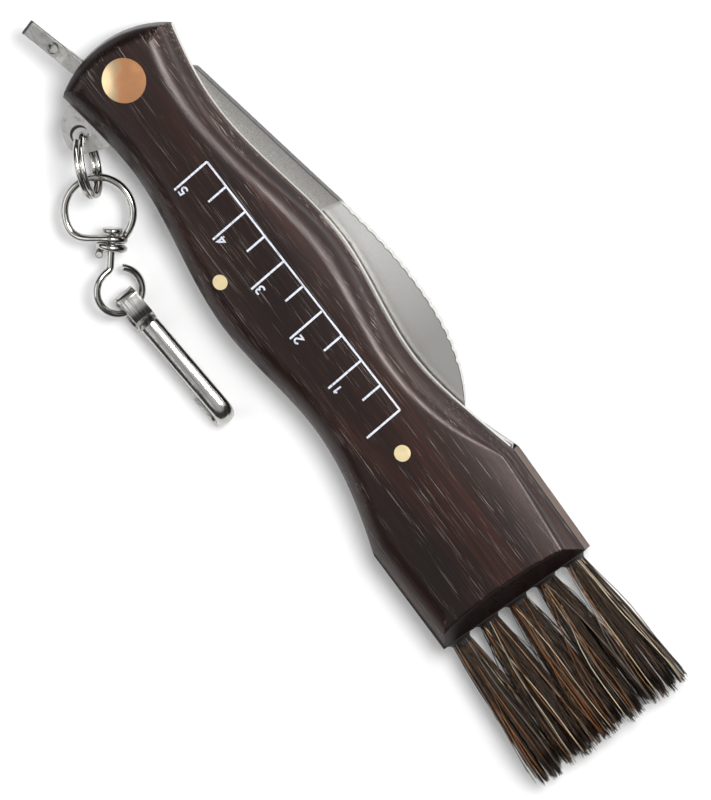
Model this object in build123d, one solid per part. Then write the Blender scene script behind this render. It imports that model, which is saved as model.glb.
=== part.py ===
from build123d import *
import math
import os

# Mushroom knife with a folding blade, tweezers in the handle, a bristle brush and a snap clip.
# The origin is on the blade's pivot axis, in the plane that the knife lies on.
# +X runs from the pivot to the brush, +Y to the side that the blade folds out of,
# and +Z out of the face that carries the ruler. Every length is in millimetres.

# Layers of the handle, from the resting face up
scale_thickness = 4.4
liner_thickness = 1.2
slot_thickness = 2.4

# Plan of the handle
shoulder_x = 84.3          # pivot to the shoulder where the wide end starts
wide_length = 19.8         # shoulder to the brush end, along the blade's side
wide_width = 28.5          # width of the brush end
head_reach = 7.1           # pivot to the tip of the rounded head
end_skew = 0.7             # how much nearer the spring side's end corner is
back_drop = 1.1            # the back half stands this much lower beside the slot
liner_setback = 0.4        # the liners stop this short of the rounded head
liner_corner = 1.0         # chamfer on the liners' corner at the shoulder

# Shape of a scale's section
bevel_inset = 2.8          # how far the side bevels run in over a scale's thickness
head_bevel = 1.35          # the same at the rounded head
end_bevel = 3.2            # the same at the brush end
crown_radius = 55.0        # the ruled face is an arc across the handle
crown_side_share = -0.03   # its axis, as a share of wide_width
crisp_ridge = 0.5          # rounding of the bevel's ridge on the blade's side

# Points of the two long edges: share of shoulder_x, share of wide_width, share of bevel_inset
slot_edge_shares = [
    (-0.0368, 0.380, 0.94),
    (0.047, 0.3256, 0.98),
    (0.148, 0.300, 0.90),
    (0.308, 0.358, 0.88),
    (0.486, 0.4263, 1.03),
    (0.617, 0.3825, 1.02),
    (0.753, 0.3439, 1.03),
    (0.902, 0.414, 1.10),
    (1.0, 0.4835, 0.82),
]
spring_edge_shares = [
    (-0.0474, -0.379, 0.93),
    (0.0356, -0.344, 1.0),
    (0.142, -0.3137, 1.0),
    (0.297, -0.365, 1.0),
    (0.486, -0.4386, 1.0),
    (0.605, -0.407, 1.0),
    (0.7355, -0.3667, 1.0),
    (0.866, -0.4105, 1.0),
    (0.949, -0.479, 1.0),
    (1.0, -0.5316, 1.15),
]
end_slot_share = 0.467     # half width at the brush end's corner, blade's side
end_spring_share = -0.5333 # the same on the spring's side
end_inset_share = 1.2      # side bevel at the brush end, as a share of bevel_inset

# Fits
pivot_play = 0.05          # radial, blade on its rivet
blade_play = 0.03          # between the blade and each washer
overrun = 1.0              # how far cutting tools run past a face

# Pivot, washers and handle pins
pivot_radius = 1.75
pivot_head_radius = 3.65
pivot_head_depth = 1.5
pivot_head_dome = 0.27
cap_radius = 2.75
cap_depth = 1.2
washer_thickness = 0.12
washer_rim = 0.4           # the washers stay this far inside the tang
spring_pin_radius = 1.25
end_pin_radius = 1.35
spring_pin_shares = (0.414, -0.258)
end_pin_shares = (0.880, -0.0035)

# Blade, drawn folded in the slot
tang_radius = 5.55         # corners of the tang, on which the spring rides
tang_flat = 5.0            # flats that hold the blade shut and open
spine_shares = [(0.356, 0.488), (0.498, 0.565), (0.64, 0.595), (0.783, 0.537), (0.878, 0.397)]
spine_heel_shares = (0.0593, 0.3263)
heel_shares = (0.051, 0.302)
tip_shares = (0.9158, 0.291)
edge_shares = [(0.783, 0.19), (0.593, 0.13), (0.356, 0.056), (0.178, -0.05)]
choil_shares = (0.10, -0.13)
edge_thickness = 0.3
plunge_shares = (0.437, 0.396)   # where the ground bevel starts, at the spine and at the edge
file_work_count = 16       # small cross cuts in the spine
file_work_pitch = 1.95
file_work_depth = 0.17
file_work_start_share = 0.46

# Slip spring
nose_gap = 0.05            # the spring rides clear of the tang's corners
nose_slant_share = 0.35    # slant of the nose's end face, on which the open blade stops
stop_gap = 0.15            # between that face and the open blade's heel
spring_top_shares = [(0.07, -0.2), (0.237, -0.185), (0.415, -0.155), (0.593, -0.155),
                     (0.735, -0.075), (0.83, 0.09)]

# Lanyard ear on the front liner
ear_hole_shares = (0.029, -0.435)
ear_hole_radius = 1.5
ear_rim = 2.75             # metal between the hole's centre and the ear's lower edge
ear_left_reach = 4.9
ear_right_reach = 4.5

# Tweezers and their channel under the front scale
tweezer_width = 2.5
tweezer_leg = 0.45
tweezer_length = 46.0
tweezer_showing = 9.9      # what stands out of the head
tweezer_angle = 15.2       # degrees from the handle's axis
tweezer_spread = 0.55      # gap between the legs
tweezer_head_length = 6.4
tweezer_bend_length = 1.2
tweezer_tip_length = 2.0
tweezer_play = 0.1
tweezer_roof = 0.15
tweezer_travel = 6.0       # room left behind the tweezers
tweezer_mouth_shares = (-0.077, -0.2)
tweezer_weld_radius = 0.65
tweezer_weld_height = 0.3
tweezer_weld_place = 5.0   # from the outer end

# Brush
tuft_count = 5
tuft_pitch = 5.75
tuft_side_share = -0.0456  # middle of the row, as a share of wide_width
strands_per_tuft = 72
strand_radius = 0.11
strand_sides = 3
bore_radius = 1.65
bore_depth = 8.0
plug_gap = 0.03
plug_length = 3.0
neck_radius = 1.42
mid_length = 8.0           # strands spread until here
mid_pitch = 5.5
mid_half_height = 2.2
bristle_length = 26.0
tip_pitch = 6.05
tip_half_height = 2.9
tip_ragged = 1.1
strand_side_gap = 0.1      # between neighbouring tufts
golden_angle = math.pi * (3 - math.sqrt(5))

# Split ring through the ear
ring_wire_radius = 0.4
ring_radius = 5.1          # to the middle of its wire
ring_turn_pitch = 1.25
ring_arcs = 4              # arcs in each turn, on either side of the step
ring_arc_angle = 75.0
ring_step_angle = 150.0    # where the wire starts to step across
ring_step_turn = 60.0      # how far round it takes to do so
ring_heading = -26.0       # degrees from +X
link_gap = 0.25            # between linked rings

# Swivel: a loop whose wire is wound round the eye's shank
swivel_lift = 5.6          # height of the swivel's axis
swivel_heading = -41.0
loop_wire_radius = 0.5
loop_radius = 5.3
loop_shift = (-2.78, -2.2) # its centre, along and across the swivel's axis from the shank's head
loop_start_angle = 61.0
loop_sweep = 257.0
coil_pitch = 1.46
coil_turns = 1.75
coil_start = 1.25          # from the middle of the shank's head
coil_gap = 0.2             # round the shank

# Eye: headed shank and open ring, turned about the swivel's axis
eye_wire_radius = 0.55
eye_head_radius = 1.4
eye_head_thickness = 0.8
eye_radius = 3.85
eye_reach = 9.56           # shank's head to the ring's centre
eye_bend_turn = 54.1       # degrees
eye_bend_radius = 1.2
eye_sweep = 317.0
eye_roll = 32.0

# Snap clip hanging on the eye
clip_turn = 40.0           # place on the ring, degrees from the swivel's axis
clip_pitch = 21.3
strap_thickness = 0.55
strap_width = 3.4
strap_inner_length = 5.6
strap_inner_height = 3.5
strap_below = 0.75         # eye's inner floor below the ring's wire centre
strap_back = 2.6           # eye's inner end behind the ring's wire centre
hook_width = 3.4
hook_bulge = 1.1           # depth of the pressed channel
hook_sheet = 0.5
hook_start = 2.6
hook_nose = 20.6           # where the nose bend starts
hook_top = 2.1
hook_rise = 0.35           # the back rises towards the nose
hook_floor = 2.0
lip_length = 3.2
gate_sheet = 0.4
gate_width = 2.4
gate_play = 0.16
gate_back = 1.1            # leaf behind its rivet
gate_rivet_place = 5.0
gate_lap = 1.2             # leaf over the lip
tongue_reach = 0.6
gate_rivet_radius = 0.4
gate_rivet_head = 0.7
gate_rivet_cap = 0.35

# Heights of the layers
back_liner_z = scale_thickness
slot_z = back_liner_z + liner_thickness
front_liner_z = slot_z + slot_thickness
front_scale_z = front_liner_z + liner_thickness
top_z = front_scale_z + scale_thickness
slot_mid_z = slot_z + slot_thickness / 2
end_x = shoulder_x + wide_length


def at(shares):
    """A plan point from its shares of shoulder_x and wide_width."""
    return (shares[0] * shoulder_x, shares[1] * wide_width)


def on_level(points, z):
    return [(x, y, z) for x, y in points]


def edge_points(shares, side, inset, drop):
    """Points of one long edge, moved in by a share of the bevel and down by the back half's drop."""
    points = []
    for x_share, y_share, inset_share in shares:
        x, y = at((x_share, y_share))
        points.append((x, y - side * (inset * inset_share + drop)))
    return points


def handle_face(z, inset=0.0, head_inset=0.0, end_inset=0.0, drop=0.0):
    """Outline of the whole handle at one level."""
    slot_side = edge_points(slot_edge_shares, 1, inset, drop)
    spring_side = edge_points(spring_edge_shares, -1, inset, 0)
    side_at_end = inset * end_inset_share
    slot_end = (end_x - end_inset, end_slot_share * wide_width - side_at_end - drop / 4)
    spring_end = (end_x - end_skew - end_inset, end_spring_share * wide_width + side_at_end)
    slot_side[-1] = (slot_side[-1][0], slot_side[-1][1] + 3 * drop / 4)
    slot_side[0] = (slot_side[0][0] - head_inset / 2, slot_side[0][1])
    spring_side[0] = (spring_side[0][0] - head_inset / 4, spring_side[0][1])
    head_mid = (head_inset - head_reach, (slot_side[0][1] + spring_side[0][1]) / 2)
    slot_side = on_level(slot_side, z)
    spring_side = on_level(spring_side, z)
    edges = [
        Spline(*slot_side),
        Line(slot_side[-1], (*slot_end, z)),
        Line((*slot_end, z), (*spring_end, z)),
        Line((*spring_end, z), spring_side[-1]),
        Spline(*reversed(spring_side)),
        ThreePointArc(spring_side[0], (*head_mid, z), slot_side[0]),
    ]
    return Face(Wire(edges))


def plate_face(setback, drop=0.0):
    """Outline of a liner, from the head to the shoulder."""
    slot_side = edge_points(slot_edge_shares, 1, 0, drop)
    spring_side = edge_points(spring_edge_shares, -1, 0, 0)
    slot_side[-1] = (slot_side[-1][0], slot_side[-1][1] + 3 * drop / 4)
    head_mid = (setback - head_reach, (slot_side[0][1] + spring_side[0][1]) / 2)
    slot_side[0] = (slot_side[0][0] + setback, slot_side[0][1])
    spring_side[0] = (spring_side[0][0] + setback, spring_side[0][1])
    edges = [
        Spline(*slot_side),
        Line(slot_side[-1], spring_side[-1]),
        Spline(*reversed(spring_side)),
        ThreePointArc(spring_side[0], head_mid, slot_side[0]),
    ]
    return Face(Wire(edges))


def slab(sketch, low, high):
    """Flat piece of one outline between two heights."""
    return Pos(0, 0, low) * extrude(sketch, high - low, dir=(0, 0, 1))


def post(center, radius, low, high):
    """Upright round bar between two heights."""
    return Pos(center[0], center[1], (low + high) / 2) * Cylinder(radius, high - low)


def crown():
    """Round bar along the handle whose top is the ruled face."""
    side = crown_side_share * wide_width
    length = 3 * (end_x + head_reach)
    return Pos(end_x / 2, side, top_z - crown_radius) * Rot(Y=90) * Cylinder(crown_radius, length)


def handle_holes(low, high):
    """Bars that cut the pivot's and the two pins' holes."""
    spots = [((0, 0), pivot_radius), (at(spring_pin_shares), spring_pin_radius), (at(end_pin_shares), end_pin_radius)]
    return [post(spot, radius, low - overrun, high + overrun) for spot, radius in spots]


def tweezer_place(z):
    """Frame at the outer end of the tweezers: X runs into the handle."""
    mouth = at(tweezer_mouth_shares)
    angle = math.radians(tweezer_angle)
    x = mouth[0] - tweezer_showing * math.cos(angle)
    y = mouth[1] - tweezer_showing * math.sin(angle)
    return Pos(x, y, z) * Rot(Z=tweezer_angle)


def channel_height():
    return tweezer_play + 2 * tweezer_leg + tweezer_spread + tweezer_roof


def make_front_scale():
    low = handle_face(front_scale_z)
    high = handle_face(top_z, bevel_inset, head_bevel, end_bevel)
    body = Solid.make_loft([low.outer_wire(), high.outer_wire()], ruled=True)
    scale = (Part() + body) & crown()
    ridge = [e for e in scale.edges() if e.center().Z > front_scale_z + scale_thickness / 2]
    ridge = [e for e in ridge if e.length > wide_length / 2 and e.center().Y > 0]
    scale = fillet(ridge, crisp_ridge)
    scale -= handle_holes(front_scale_z, top_z)
    scale -= post((0, 0), pivot_head_radius, top_z - pivot_head_depth, top_z + overrun)
    length = tweezer_length + tweezer_travel
    height = channel_height()
    channel = Box(length, tweezer_width + 2 * tweezer_play, height, align=(Align.MIN, Align.CENTER, Align.MIN))
    scale -= tweezer_place(front_scale_z) * channel
    return scale


def make_back_scale():
    high = handle_face(back_liner_z, drop=back_drop)
    low = handle_face(0, bevel_inset, head_bevel, end_bevel, back_drop)
    body = Solid.make_loft([low.outer_wire(), high.outer_wire()], ruled=True)
    scale = (Part() + body) - handle_holes(0, back_liner_z)
    return scale - post((0, 0), cap_radius, -overrun, cap_depth)


def ear_face():
    """The lug that carries the split ring, beyond the liner's spring side."""
    x, y = at(ear_hole_shares)
    left = (x - ear_left_reach, y + ear_hole_radius)
    right = (x + ear_right_reach, y + 2 * ear_hole_radius)
    bottom = (x + ear_rim / 8, y - ear_rim)
    lift = ear_rim * math.cos(math.radians(45))
    left_mid = (x - ear_left_reach / 2 - ear_rim / 4, y - ear_rim / 2)
    right_mid = (x + ear_rim / 8 + lift, y - lift)
    flank = (x + ear_rim + ear_rim / 8, y - ear_rim / 4)
    rise = 2 * ear_hole_radius
    edges = [
        ThreePointArc(left, left_mid, bottom),
        ThreePointArc(bottom, right_mid, flank),
        Line(flank, right),
        Line(right, (right[0], right[1] + rise)),
        Line((right[0], right[1] + rise), (left[0], right[1] + rise)),
        Line((left[0], right[1] + rise), left),
    ]
    return Face(Wire(edges))


def liner_corner_cut(z, drop):
    corner = at(slot_edge_shares[-1][:2])
    cut = slab(Rectangle(math.sqrt(2) * liner_corner, math.sqrt(2) * liner_corner), 0, liner_thickness + overrun)
    return Pos(corner[0], corner[1] - drop / 4, z) * Rot(Z=45) * cut


def make_front_liner():
    sheet = Sketch() + plate_face(liner_setback)
    ear = Sketch() + ear_face()
    liner = slab(sheet, front_liner_z, front_scale_z) + slab(ear, front_liner_z, front_scale_z)
    liner -= handle_holes(front_liner_z, front_scale_z)
    liner -= liner_corner_cut(front_liner_z - overrun / 2, 0)
    return liner - post(at(ear_hole_shares), ear_hole_radius, slot_z, top_z)


def make_back_liner():
    sheet = Sketch() + plate_face(liner_setback, back_drop)
    liner = slab(sheet, back_liner_z, slot_z)
    liner -= handle_holes(back_liner_z, slot_z)
    return liner - liner_corner_cut(back_liner_z - overrun / 2, back_drop)


def tuft_side(index, pitch):
    return tuft_side_share * wide_width + (index - (tuft_count - 1) / 2) * pitch


def end_x_at(y):
    """Where the slightly skewed brush end lies at one place across it."""
    high = end_slot_share * wide_width
    low = end_spring_share * wide_width
    return end_x - end_skew * (high - y) / (high - low)


def bore_floor(index):
    """The bottom of a tuft's bore."""
    return end_x_at(tuft_side(index, tuft_pitch)) - bore_depth


def wide_end_wire(z, drop):
    """Four-sided outline of the handle from the shoulder to the brush end."""
    slot_corner = at(slot_edge_shares[-1][:2])
    spring_corner = at(spring_edge_shares[-1][:2])
    slot_end = (end_x, end_slot_share * wide_width)
    spring_end = (end_x - end_skew, end_spring_share * wide_width)
    corners = [spring_corner, spring_end, (slot_end[0], slot_end[1] - drop), (slot_corner[0], slot_corner[1] - drop)]
    return Wire.make_polygon(on_level(corners, z), close=True)


def make_brush_block():
    low = wide_end_wire(back_liner_z, back_drop / 4)
    high = wide_end_wire(front_scale_z, 0)
    block = Part() + Solid.make_loft([low, high], ruled=True)
    for index in range(tuft_count):
        y = tuft_side(index, tuft_pitch)
        depth = bore_depth + overrun
        drill = Rot(Y=90) * Cylinder(bore_radius, depth, align=(Align.CENTER, Align.CENTER, Align.MIN))
        block -= Pos(bore_floor(index), y, slot_mid_z) * drill
    return block


def strand_section(x, y, z):
    """One strand's cut at one place along it."""
    points = []
    for corner in range(strand_sides):
        angle = 2 * math.pi * corner / strand_sides
        points.append((x, y + strand_radius * math.cos(angle), z + strand_radius * math.sin(angle)))
    return Wire.make_polygon(points, close=True)


def make_tuft(index):
    """A plug of bristle roots with the strands that fan out of it."""
    root_x = end_x_at(tuft_side(index, tuft_pitch))
    plug = Rot(Y=90) * Cylinder(bore_radius - plug_gap, plug_length, align=(Align.CENTER, Align.CENTER, Align.MIN))
    plug = Pos(bore_floor(index), tuft_side(index, tuft_pitch), slot_mid_z) * plug
    stations = [
        (bore_floor(index) + plug_length / 2, tuft_pitch, neck_radius, neck_radius),
        (root_x, tuft_pitch, neck_radius, neck_radius),
        (root_x + mid_length, mid_pitch, mid_pitch / 2 - strand_radius - strand_side_gap / 2, mid_half_height),
        (root_x + bristle_length, tip_pitch, tip_pitch / 2 - strand_radius - strand_side_gap / 2, tip_half_height),
    ]
    strands = []
    for strand in range(strands_per_tuft):
        reach = math.sqrt((strand + 0.5) / strands_per_tuft)
        angle = strand * golden_angle
        ragged = tip_ragged * math.sin(strand * math.sqrt(7) + index) / 2
        sections = []
        for place, (x, pitch, half_width, half_height) in enumerate(stations):
            y = tuft_side(index, pitch) + half_width * reach * math.cos(angle)
            z = slot_mid_z + half_height * reach * math.sin(angle)
            last = place == len(stations) - 1
            sections.append(strand_section(x + (ragged if last else 0), y, z))
        strands.append(Solid.make_loft(sections, ruled=True))
    return plug.fuse(*strands)


def heel_neck():
    """Where the blade's slanting heel meets the top of the tang."""
    heel = at(heel_shares)
    return (heel[0] - (heel[1] - tang_flat) * nose_slant_share, tang_flat)


def spring_region():
    """Everything the slip spring may fill in the slot, before it is trimmed to the handle's outline."""
    nose_y = -(tang_radius + nose_gap)
    nose_x = stop_gap - heel_neck()[0] - nose_slant_share * (tang_radius + nose_gap - tang_flat)
    low_y = -wide_width
    slant = nose_slant_share * (nose_y - low_y)
    top = [(nose_x, nose_y)] + [at(shares) for shares in spring_top_shares]
    tail_top = at((1.0, spring_top_shares[-1][1]))
    edges = [
        Line((nose_x - slant, low_y), top[0]),
        Line(top[0], top[1]),
        Spline(*top[1:], tangents=[(1, 0), (1, 0)]),
        Line(top[-1], tail_top),
        Line(tail_top, (tail_top[0], low_y)),
        Line((tail_top[0], low_y), (nose_x - slant, low_y)),
    ]
    return Face(Wire(edges))


def make_back_spring():
    region = (Sketch() + spring_region()) & (Sketch() + plate_face(0))
    spring = slab(region, slot_z, front_liner_z)
    return spring - handle_holes(slot_z, front_liner_z)


def blade_face():
    spine = [at(shares) for shares in spine_shares]
    tip = at(tip_shares)
    heel_top = at(spine_heel_shares)
    heel = at(heel_shares)
    choil = at(choil_shares)
    edge = [tip] + [at(shares) for shares in edge_shares]
    run = (spine[0][0] - heel_top[0], spine[0][1] - heel_top[1])
    kick = (tang_flat, -tang_flat)
    neck = heel_neck()
    edges = [
        Line(heel_top, spine[0]),
        Spline(*spine, tip, tangents=[run, (0.55, -0.83)]),
        Spline(*edge, choil),
        Line(choil, kick),
        Line(kick, (0, -tang_flat)),
        Line((0, -tang_flat), (0, tang_flat)),
        Line((0, tang_flat), neck),
        Line(neck, heel),
        Line(heel, heel_top),
    ]
    return Face(Wire(edges))


def spine_curve():
    spine = [at(shares) for shares in spine_shares]
    heel_top = at(spine_heel_shares)
    run = (spine[0][0] - heel_top[0], spine[0][1] - heel_top[1])
    return Spline(*spine, at(tip_shares), tangents=[run, (0.55, -0.83)])


def grind_cut(side, thickness):
    """Wedge that grinds one flank of the blade from the spine to the edge."""
    top = at(spine_shares[2])[1]
    low = at(edge_shares[1])[1]
    deep = (thickness - edge_thickness) / 2
    drop = top - low
    edge_run = 2 * drop
    profile = Polyline((top, 0), (top - edge_run, -deep * edge_run / drop), (top - edge_run, overrun),
                       (top, overrun), close=True)
    length = shoulder_x
    wedge = extrude(Plane.YZ * make_face(profile), length)
    start_top = plunge_shares[0] * shoulder_x
    start_low = plunge_shares[1] * shoulder_x
    slant = math.degrees(math.atan((start_top - start_low) / drop))
    wedge = Pos(start_top, 0, 0) * wedge
    shape = Polyline((start_top, top), (start_low, low), (start_low - (start_top - start_low), low - drop),
                     (2 * shoulder_x, low - drop), (2 * shoulder_x, top + drop),
                     (start_top + (start_top - start_low), top + drop), close=True)
    wide = extrude(Plane.YZ * make_face(profile), 2 * length)
    area = slab(make_face(shape), -thickness, thickness)
    wide = wide & area
    wide = Pos(0, 0, thickness / 2) * wide
    return wide if side > 0 else mirror(wide, Plane.XY)


def make_blade():
    thickness = slot_thickness - 2 * (washer_thickness + blade_play)
    tang = Circle(tang_radius) & Rectangle(2 * tang_flat, 2 * tang_flat)
    blade = slab(tang, -thickness / 2, thickness / 2)
    blade += slab(Sketch() + blade_face(), -thickness / 2, thickness / 2)
    for side in (1, -1):
        blade -= grind_cut(side, thickness)
    curve = spine_curve()
    cuts = []
    tool_radius = file_work_pitch / 2
    start = (file_work_start_share - spine_shares[0][0]) * shoulder_x
    for index in range(file_work_count):
        place = (start + index * file_work_pitch) / curve.length
        point = curve @ place
        along = curve % place
        outward = Vector(-along.Y, along.X, 0)
        centre = point + outward * (tool_radius - file_work_depth)
        cuts.append(post((centre.X, centre.Y), tool_radius, -thickness, thickness))
    blade -= cuts
    blade -= post((0, 0), pivot_radius + pivot_play, -thickness, thickness)
    return Pos(0, 0, slot_mid_z) * blade


def make_washer(low):
    rim = tang_flat - washer_rim
    return post((0, 0), rim, low, low + washer_thickness) - post((0, 0), pivot_radius, low - overrun, top_z)


def make_pivot_rivet():
    """Domed head in the front scale, with the shank that everything turns on."""
    rivet = post((0, 0), pivot_radius, cap_depth, top_z - pivot_head_depth)
    head = post((0, 0), pivot_head_radius, top_z - pivot_head_depth, top_z + pivot_head_dome)
    ball_radius = pivot_head_radius ** 2 / (2 * pivot_head_dome)
    ball = Pos(0, 0, top_z + pivot_head_dome / 2 - ball_radius) * Sphere(ball_radius)
    return rivet + (head & ball)


def make_pivot_cap():
    return post((0, 0), cap_radius, 0, cap_depth)


def make_pin(shares, radius):
    """Brass pin through the whole handle, dressed flush with both faces."""
    return post(at(shares), radius, 0, top_z) & crown()


def leg_profile(level, outward):
    """Side view of one tweezer leg: flat head, slight spread, and a tip that turns in."""
    spread = tweezer_spread / 2
    points = [
        (0, 0),
        (tweezer_head_length, 0),
        (tweezer_head_length + tweezer_bend_length, spread),
        (tweezer_length - tweezer_tip_length, spread),
        (tweezer_length, tweezer_play / 2),
    ]
    near = [(x, level + outward * y) for x, y in points]
    far = [(x, level + outward * (y + tweezer_leg)) for x, y in reversed(points)]
    return make_face(Polyline(*near, *far, close=True))


def make_tweezer_leg(outward):
    level = tweezer_play + tweezer_leg + tweezer_spread / 2
    profile = Plane.XZ * leg_profile(level, outward)
    leg = extrude(profile, tweezer_width / 2, both=True)
    taper = tweezer_width / 4
    outline = Polyline((0, -tweezer_width / 2), (tweezer_length - 3 * tweezer_tip_length, -tweezer_width / 2),
                       (tweezer_length, -taper), (tweezer_length, taper),
                       (tweezer_length - 3 * tweezer_tip_length, tweezer_width / 2), (0, tweezer_width / 2),
                       close=True)
    leg = leg & slab(make_face(outline), 0, scale_thickness)
    hole = Pos(tweezer_weld_place, 0, 0) * Cylinder(tweezer_weld_radius / 2, 4 * scale_thickness)
    return tweezer_place(front_scale_z) * (leg - hole)


def make_tweezer_rivet():
    """Small weld nub through both legs."""
    level = tweezer_play + tweezer_leg + tweezer_spread / 2
    shank = Cylinder(tweezer_weld_radius / 2, 2 * tweezer_leg)
    cap_radius_of_ball = (tweezer_weld_radius ** 2 + tweezer_weld_height ** 2) / (2 * tweezer_weld_height)
    ball = Pos(0, 0, tweezer_weld_height - cap_radius_of_ball) * Sphere(cap_radius_of_ball)
    dome = ball & Cylinder(tweezer_weld_radius, tweezer_weld_height, align=(Align.CENTER, Align.CENTER, Align.MIN))
    nub = shank + Pos(0, 0, tweezer_leg) * dome
    return tweezer_place(front_scale_z + level) * (Pos(tweezer_weld_place, 0, 0) * nub)


def biarc(start, start_way, end, end_way):
    """Two arcs that leave one point and reach another along given directions."""
    run = end - start
    ways = start_way + end_way
    spare = 2 * (1 - start_way.dot(end_way))
    if spare < 1e-6:
        reach = run.dot(run) / (4 * run.dot(end_way))
    else:
        reach = (math.sqrt(run.dot(ways) ** 2 + spare * run.dot(run)) - run.dot(ways)) / spare
    middle = (start + start_way * reach + end - end_way * reach) / 2
    first = Edge.make_tangent_arc(start, start_way, middle)
    second = Edge.make_tangent_arc(middle, first % 1, end)
    return [first, second]


def chain_of_arcs(stations):
    """Tangent arcs through a list of points, each with the direction of travel there."""
    edges = []
    for (start, start_way), (end, end_way) in zip(stations, stations[1:]):
        edges += biarc(start, start_way.normalized(), end, end_way.normalized())
    return edges


def least_gap(wire, radius):
    """Least distance between the surfaces of a tube's separate turns, measured on points."""
    count = 400
    points = [wire @ (k / count) for k in range(count + 1)]
    skip = math.ceil(count * 3 * math.pi * radius / wire.length)
    best = math.inf
    for first in range(count + 1):
        for second in range(first + skip, count + 1):
            best = min(best, (points[first] - points[second]).length)
    return best - 2 * radius


def tube(wire, radius):
    start = Plane(origin=wire @ 0, z_dir=wire % 0)
    return sweep(start * Circle(radius), path=wire)


def ring_frame():
    """Frame of the split ring: X away from the ear, Z along the ring's axis."""
    hole = Vector(*at(ear_hole_shares), front_liner_z + liner_thickness / 2)
    heading = math.radians(ring_heading)
    away = Vector(math.cos(heading), math.sin(heading), 0)
    rise = hole.Z - ring_centre_z()
    centre = hole + away * math.sqrt(ring_radius ** 2 - rise ** 2)
    centre = Vector(centre.X, centre.Y, ring_centre_z())
    return Plane(origin=centre, x_dir=away, z_dir=away.cross(Vector(0, 0, 1)))


def ring_centre_z():
    """Height at which the swivel's loop rests inside the ring."""
    inner = ring_radius - ring_wire_radius - link_gap - loop_wire_radius
    return swivel_lift + inner * math.sin(math.radians(ring_seat_angle))


ring_seat_angle = 39.7     # below level, where the swivel's loop lies in the ring


def make_split_ring():
    """Nearly two turns of spring wire side by side, joined by a slanting step."""
    stations = []
    for half in (0, 1):
        for step in range(ring_arcs + 1):
            turn = half * ring_step_turn + (step - (1 - half) * ring_arcs) * ring_arc_angle
            angle = math.radians(ring_step_angle + turn)
            side = (half - 0.5) * ring_turn_pitch
            point = Vector(ring_radius * math.cos(angle), ring_radius * math.sin(angle), side)
            stations.append((point, Vector(-math.sin(angle), math.cos(angle), 0)))
    path = Wire(chain_of_arcs(stations))
    print("split ring, least gap between turns:", round(least_gap(path, ring_wire_radius), 3))
    return ring_frame().location * tube(path, ring_wire_radius)


def swivel_frame():
    """Frame at the shank's head: X along the swivel's axis, Z up."""
    heading = math.radians(swivel_heading)
    along = Vector(math.cos(heading), math.sin(heading), 0)
    return Plane(origin=swivel_origin(), x_dir=along, z_dir=(0, 0, 1))


def swivel_origin():
    """The loop hangs in the ring, so the head's place follows from where they cross."""
    ring = ring_frame()
    heading = math.radians(swivel_heading)
    along = Vector(math.cos(heading), math.sin(heading), 0)
    across = Vector(-along.Y, along.X, 0)
    inner = ring_radius - ring_wire_radius - link_gap - loop_wire_radius
    crossing = ring.origin + ring.x_dir * (inner * math.cos(math.radians(ring_seat_angle)))
    toward = Vector(math.cos(math.radians(loop_side_heading)), math.sin(math.radians(loop_side_heading)), 0)
    centre = crossing + toward * loop_radius
    head = centre - along * loop_shift[0] - across * loop_shift[1]
    return Vector(head.X, head.Y, swivel_lift)


loop_side_heading = -30.0  # from the crossing with the split ring to the loop's centre


def make_swivel_loop():
    """Wire loop that goes round once and is then wound round the shank."""
    coil_radius = eye_wire_radius + coil_gap + loop_wire_radius
    centre = Vector(loop_shift[0], loop_shift[1], 0)
    stations = []
    arcs = math.ceil(loop_sweep / 90)
    for step in range(arcs + 1):
        angle = math.radians(loop_start_angle + loop_sweep * step / arcs)
        point = centre + Vector(loop_radius * math.cos(angle), loop_radius * math.sin(angle), 0)
        stations.append((point, Vector(-math.sin(angle), math.cos(angle), 0)))
    quarters = round(4 * coil_turns)
    slope = coil_pitch / (2 * math.pi)
    for step in range(quarters + 1):
        turn = step * math.pi / 2
        angle = math.pi / 2 - turn
        point = Vector(coil_start + slope * turn, coil_radius * math.cos(angle), coil_radius * math.sin(angle))
        way = Vector(slope, coil_radius * math.sin(angle), -coil_radius * math.cos(angle))
        stations.append((point, way))
    path = Wire(chain_of_arcs(stations))
    print("swivel loop, least gap between turns:", round(least_gap(path, loop_wire_radius), 3))
    return swivel_frame().location * tube(path, loop_wire_radius)


def eye_frame():
    return swivel_frame().location * Rot(X=-eye_roll)


def eye_centre():
    """Centre of the open ring, across from the shank's axis so that the bend meets it."""
    turn = math.radians(eye_bend_turn)
    return (eye_reach, (eye_radius + eye_bend_radius) * math.cos(turn) - eye_bend_radius)


def make_swivel_eye():
    """Headed shank bent into an open ring."""
    turn = math.radians(eye_bend_turn)
    centre = eye_centre()
    bend_start = Vector(eye_reach - (eye_radius + eye_bend_radius) * math.sin(turn), 0, 0)
    stations = [(bend_start, Vector(1, 0, 0))]
    arcs = 4
    for step in range(arcs + 1):
        angle = 3 * math.pi / 2 - turn + math.radians(eye_sweep) * step / arcs
        point = Vector(centre[0] + eye_radius * math.cos(angle), centre[1] + eye_radius * math.sin(angle), 0)
        stations.append((point, Vector(-math.sin(angle), math.cos(angle), 0)))
    shank = Line((0, 0, 0), bend_start)
    eye = tube(Wire([shank] + chain_of_arcs(stations)), eye_wire_radius)
    head = Rot(Y=90) * Cylinder(eye_head_radius, eye_head_thickness)
    head = fillet(head.edges(), eye_head_thickness / 4)
    return eye_frame() * (eye + head)


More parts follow.
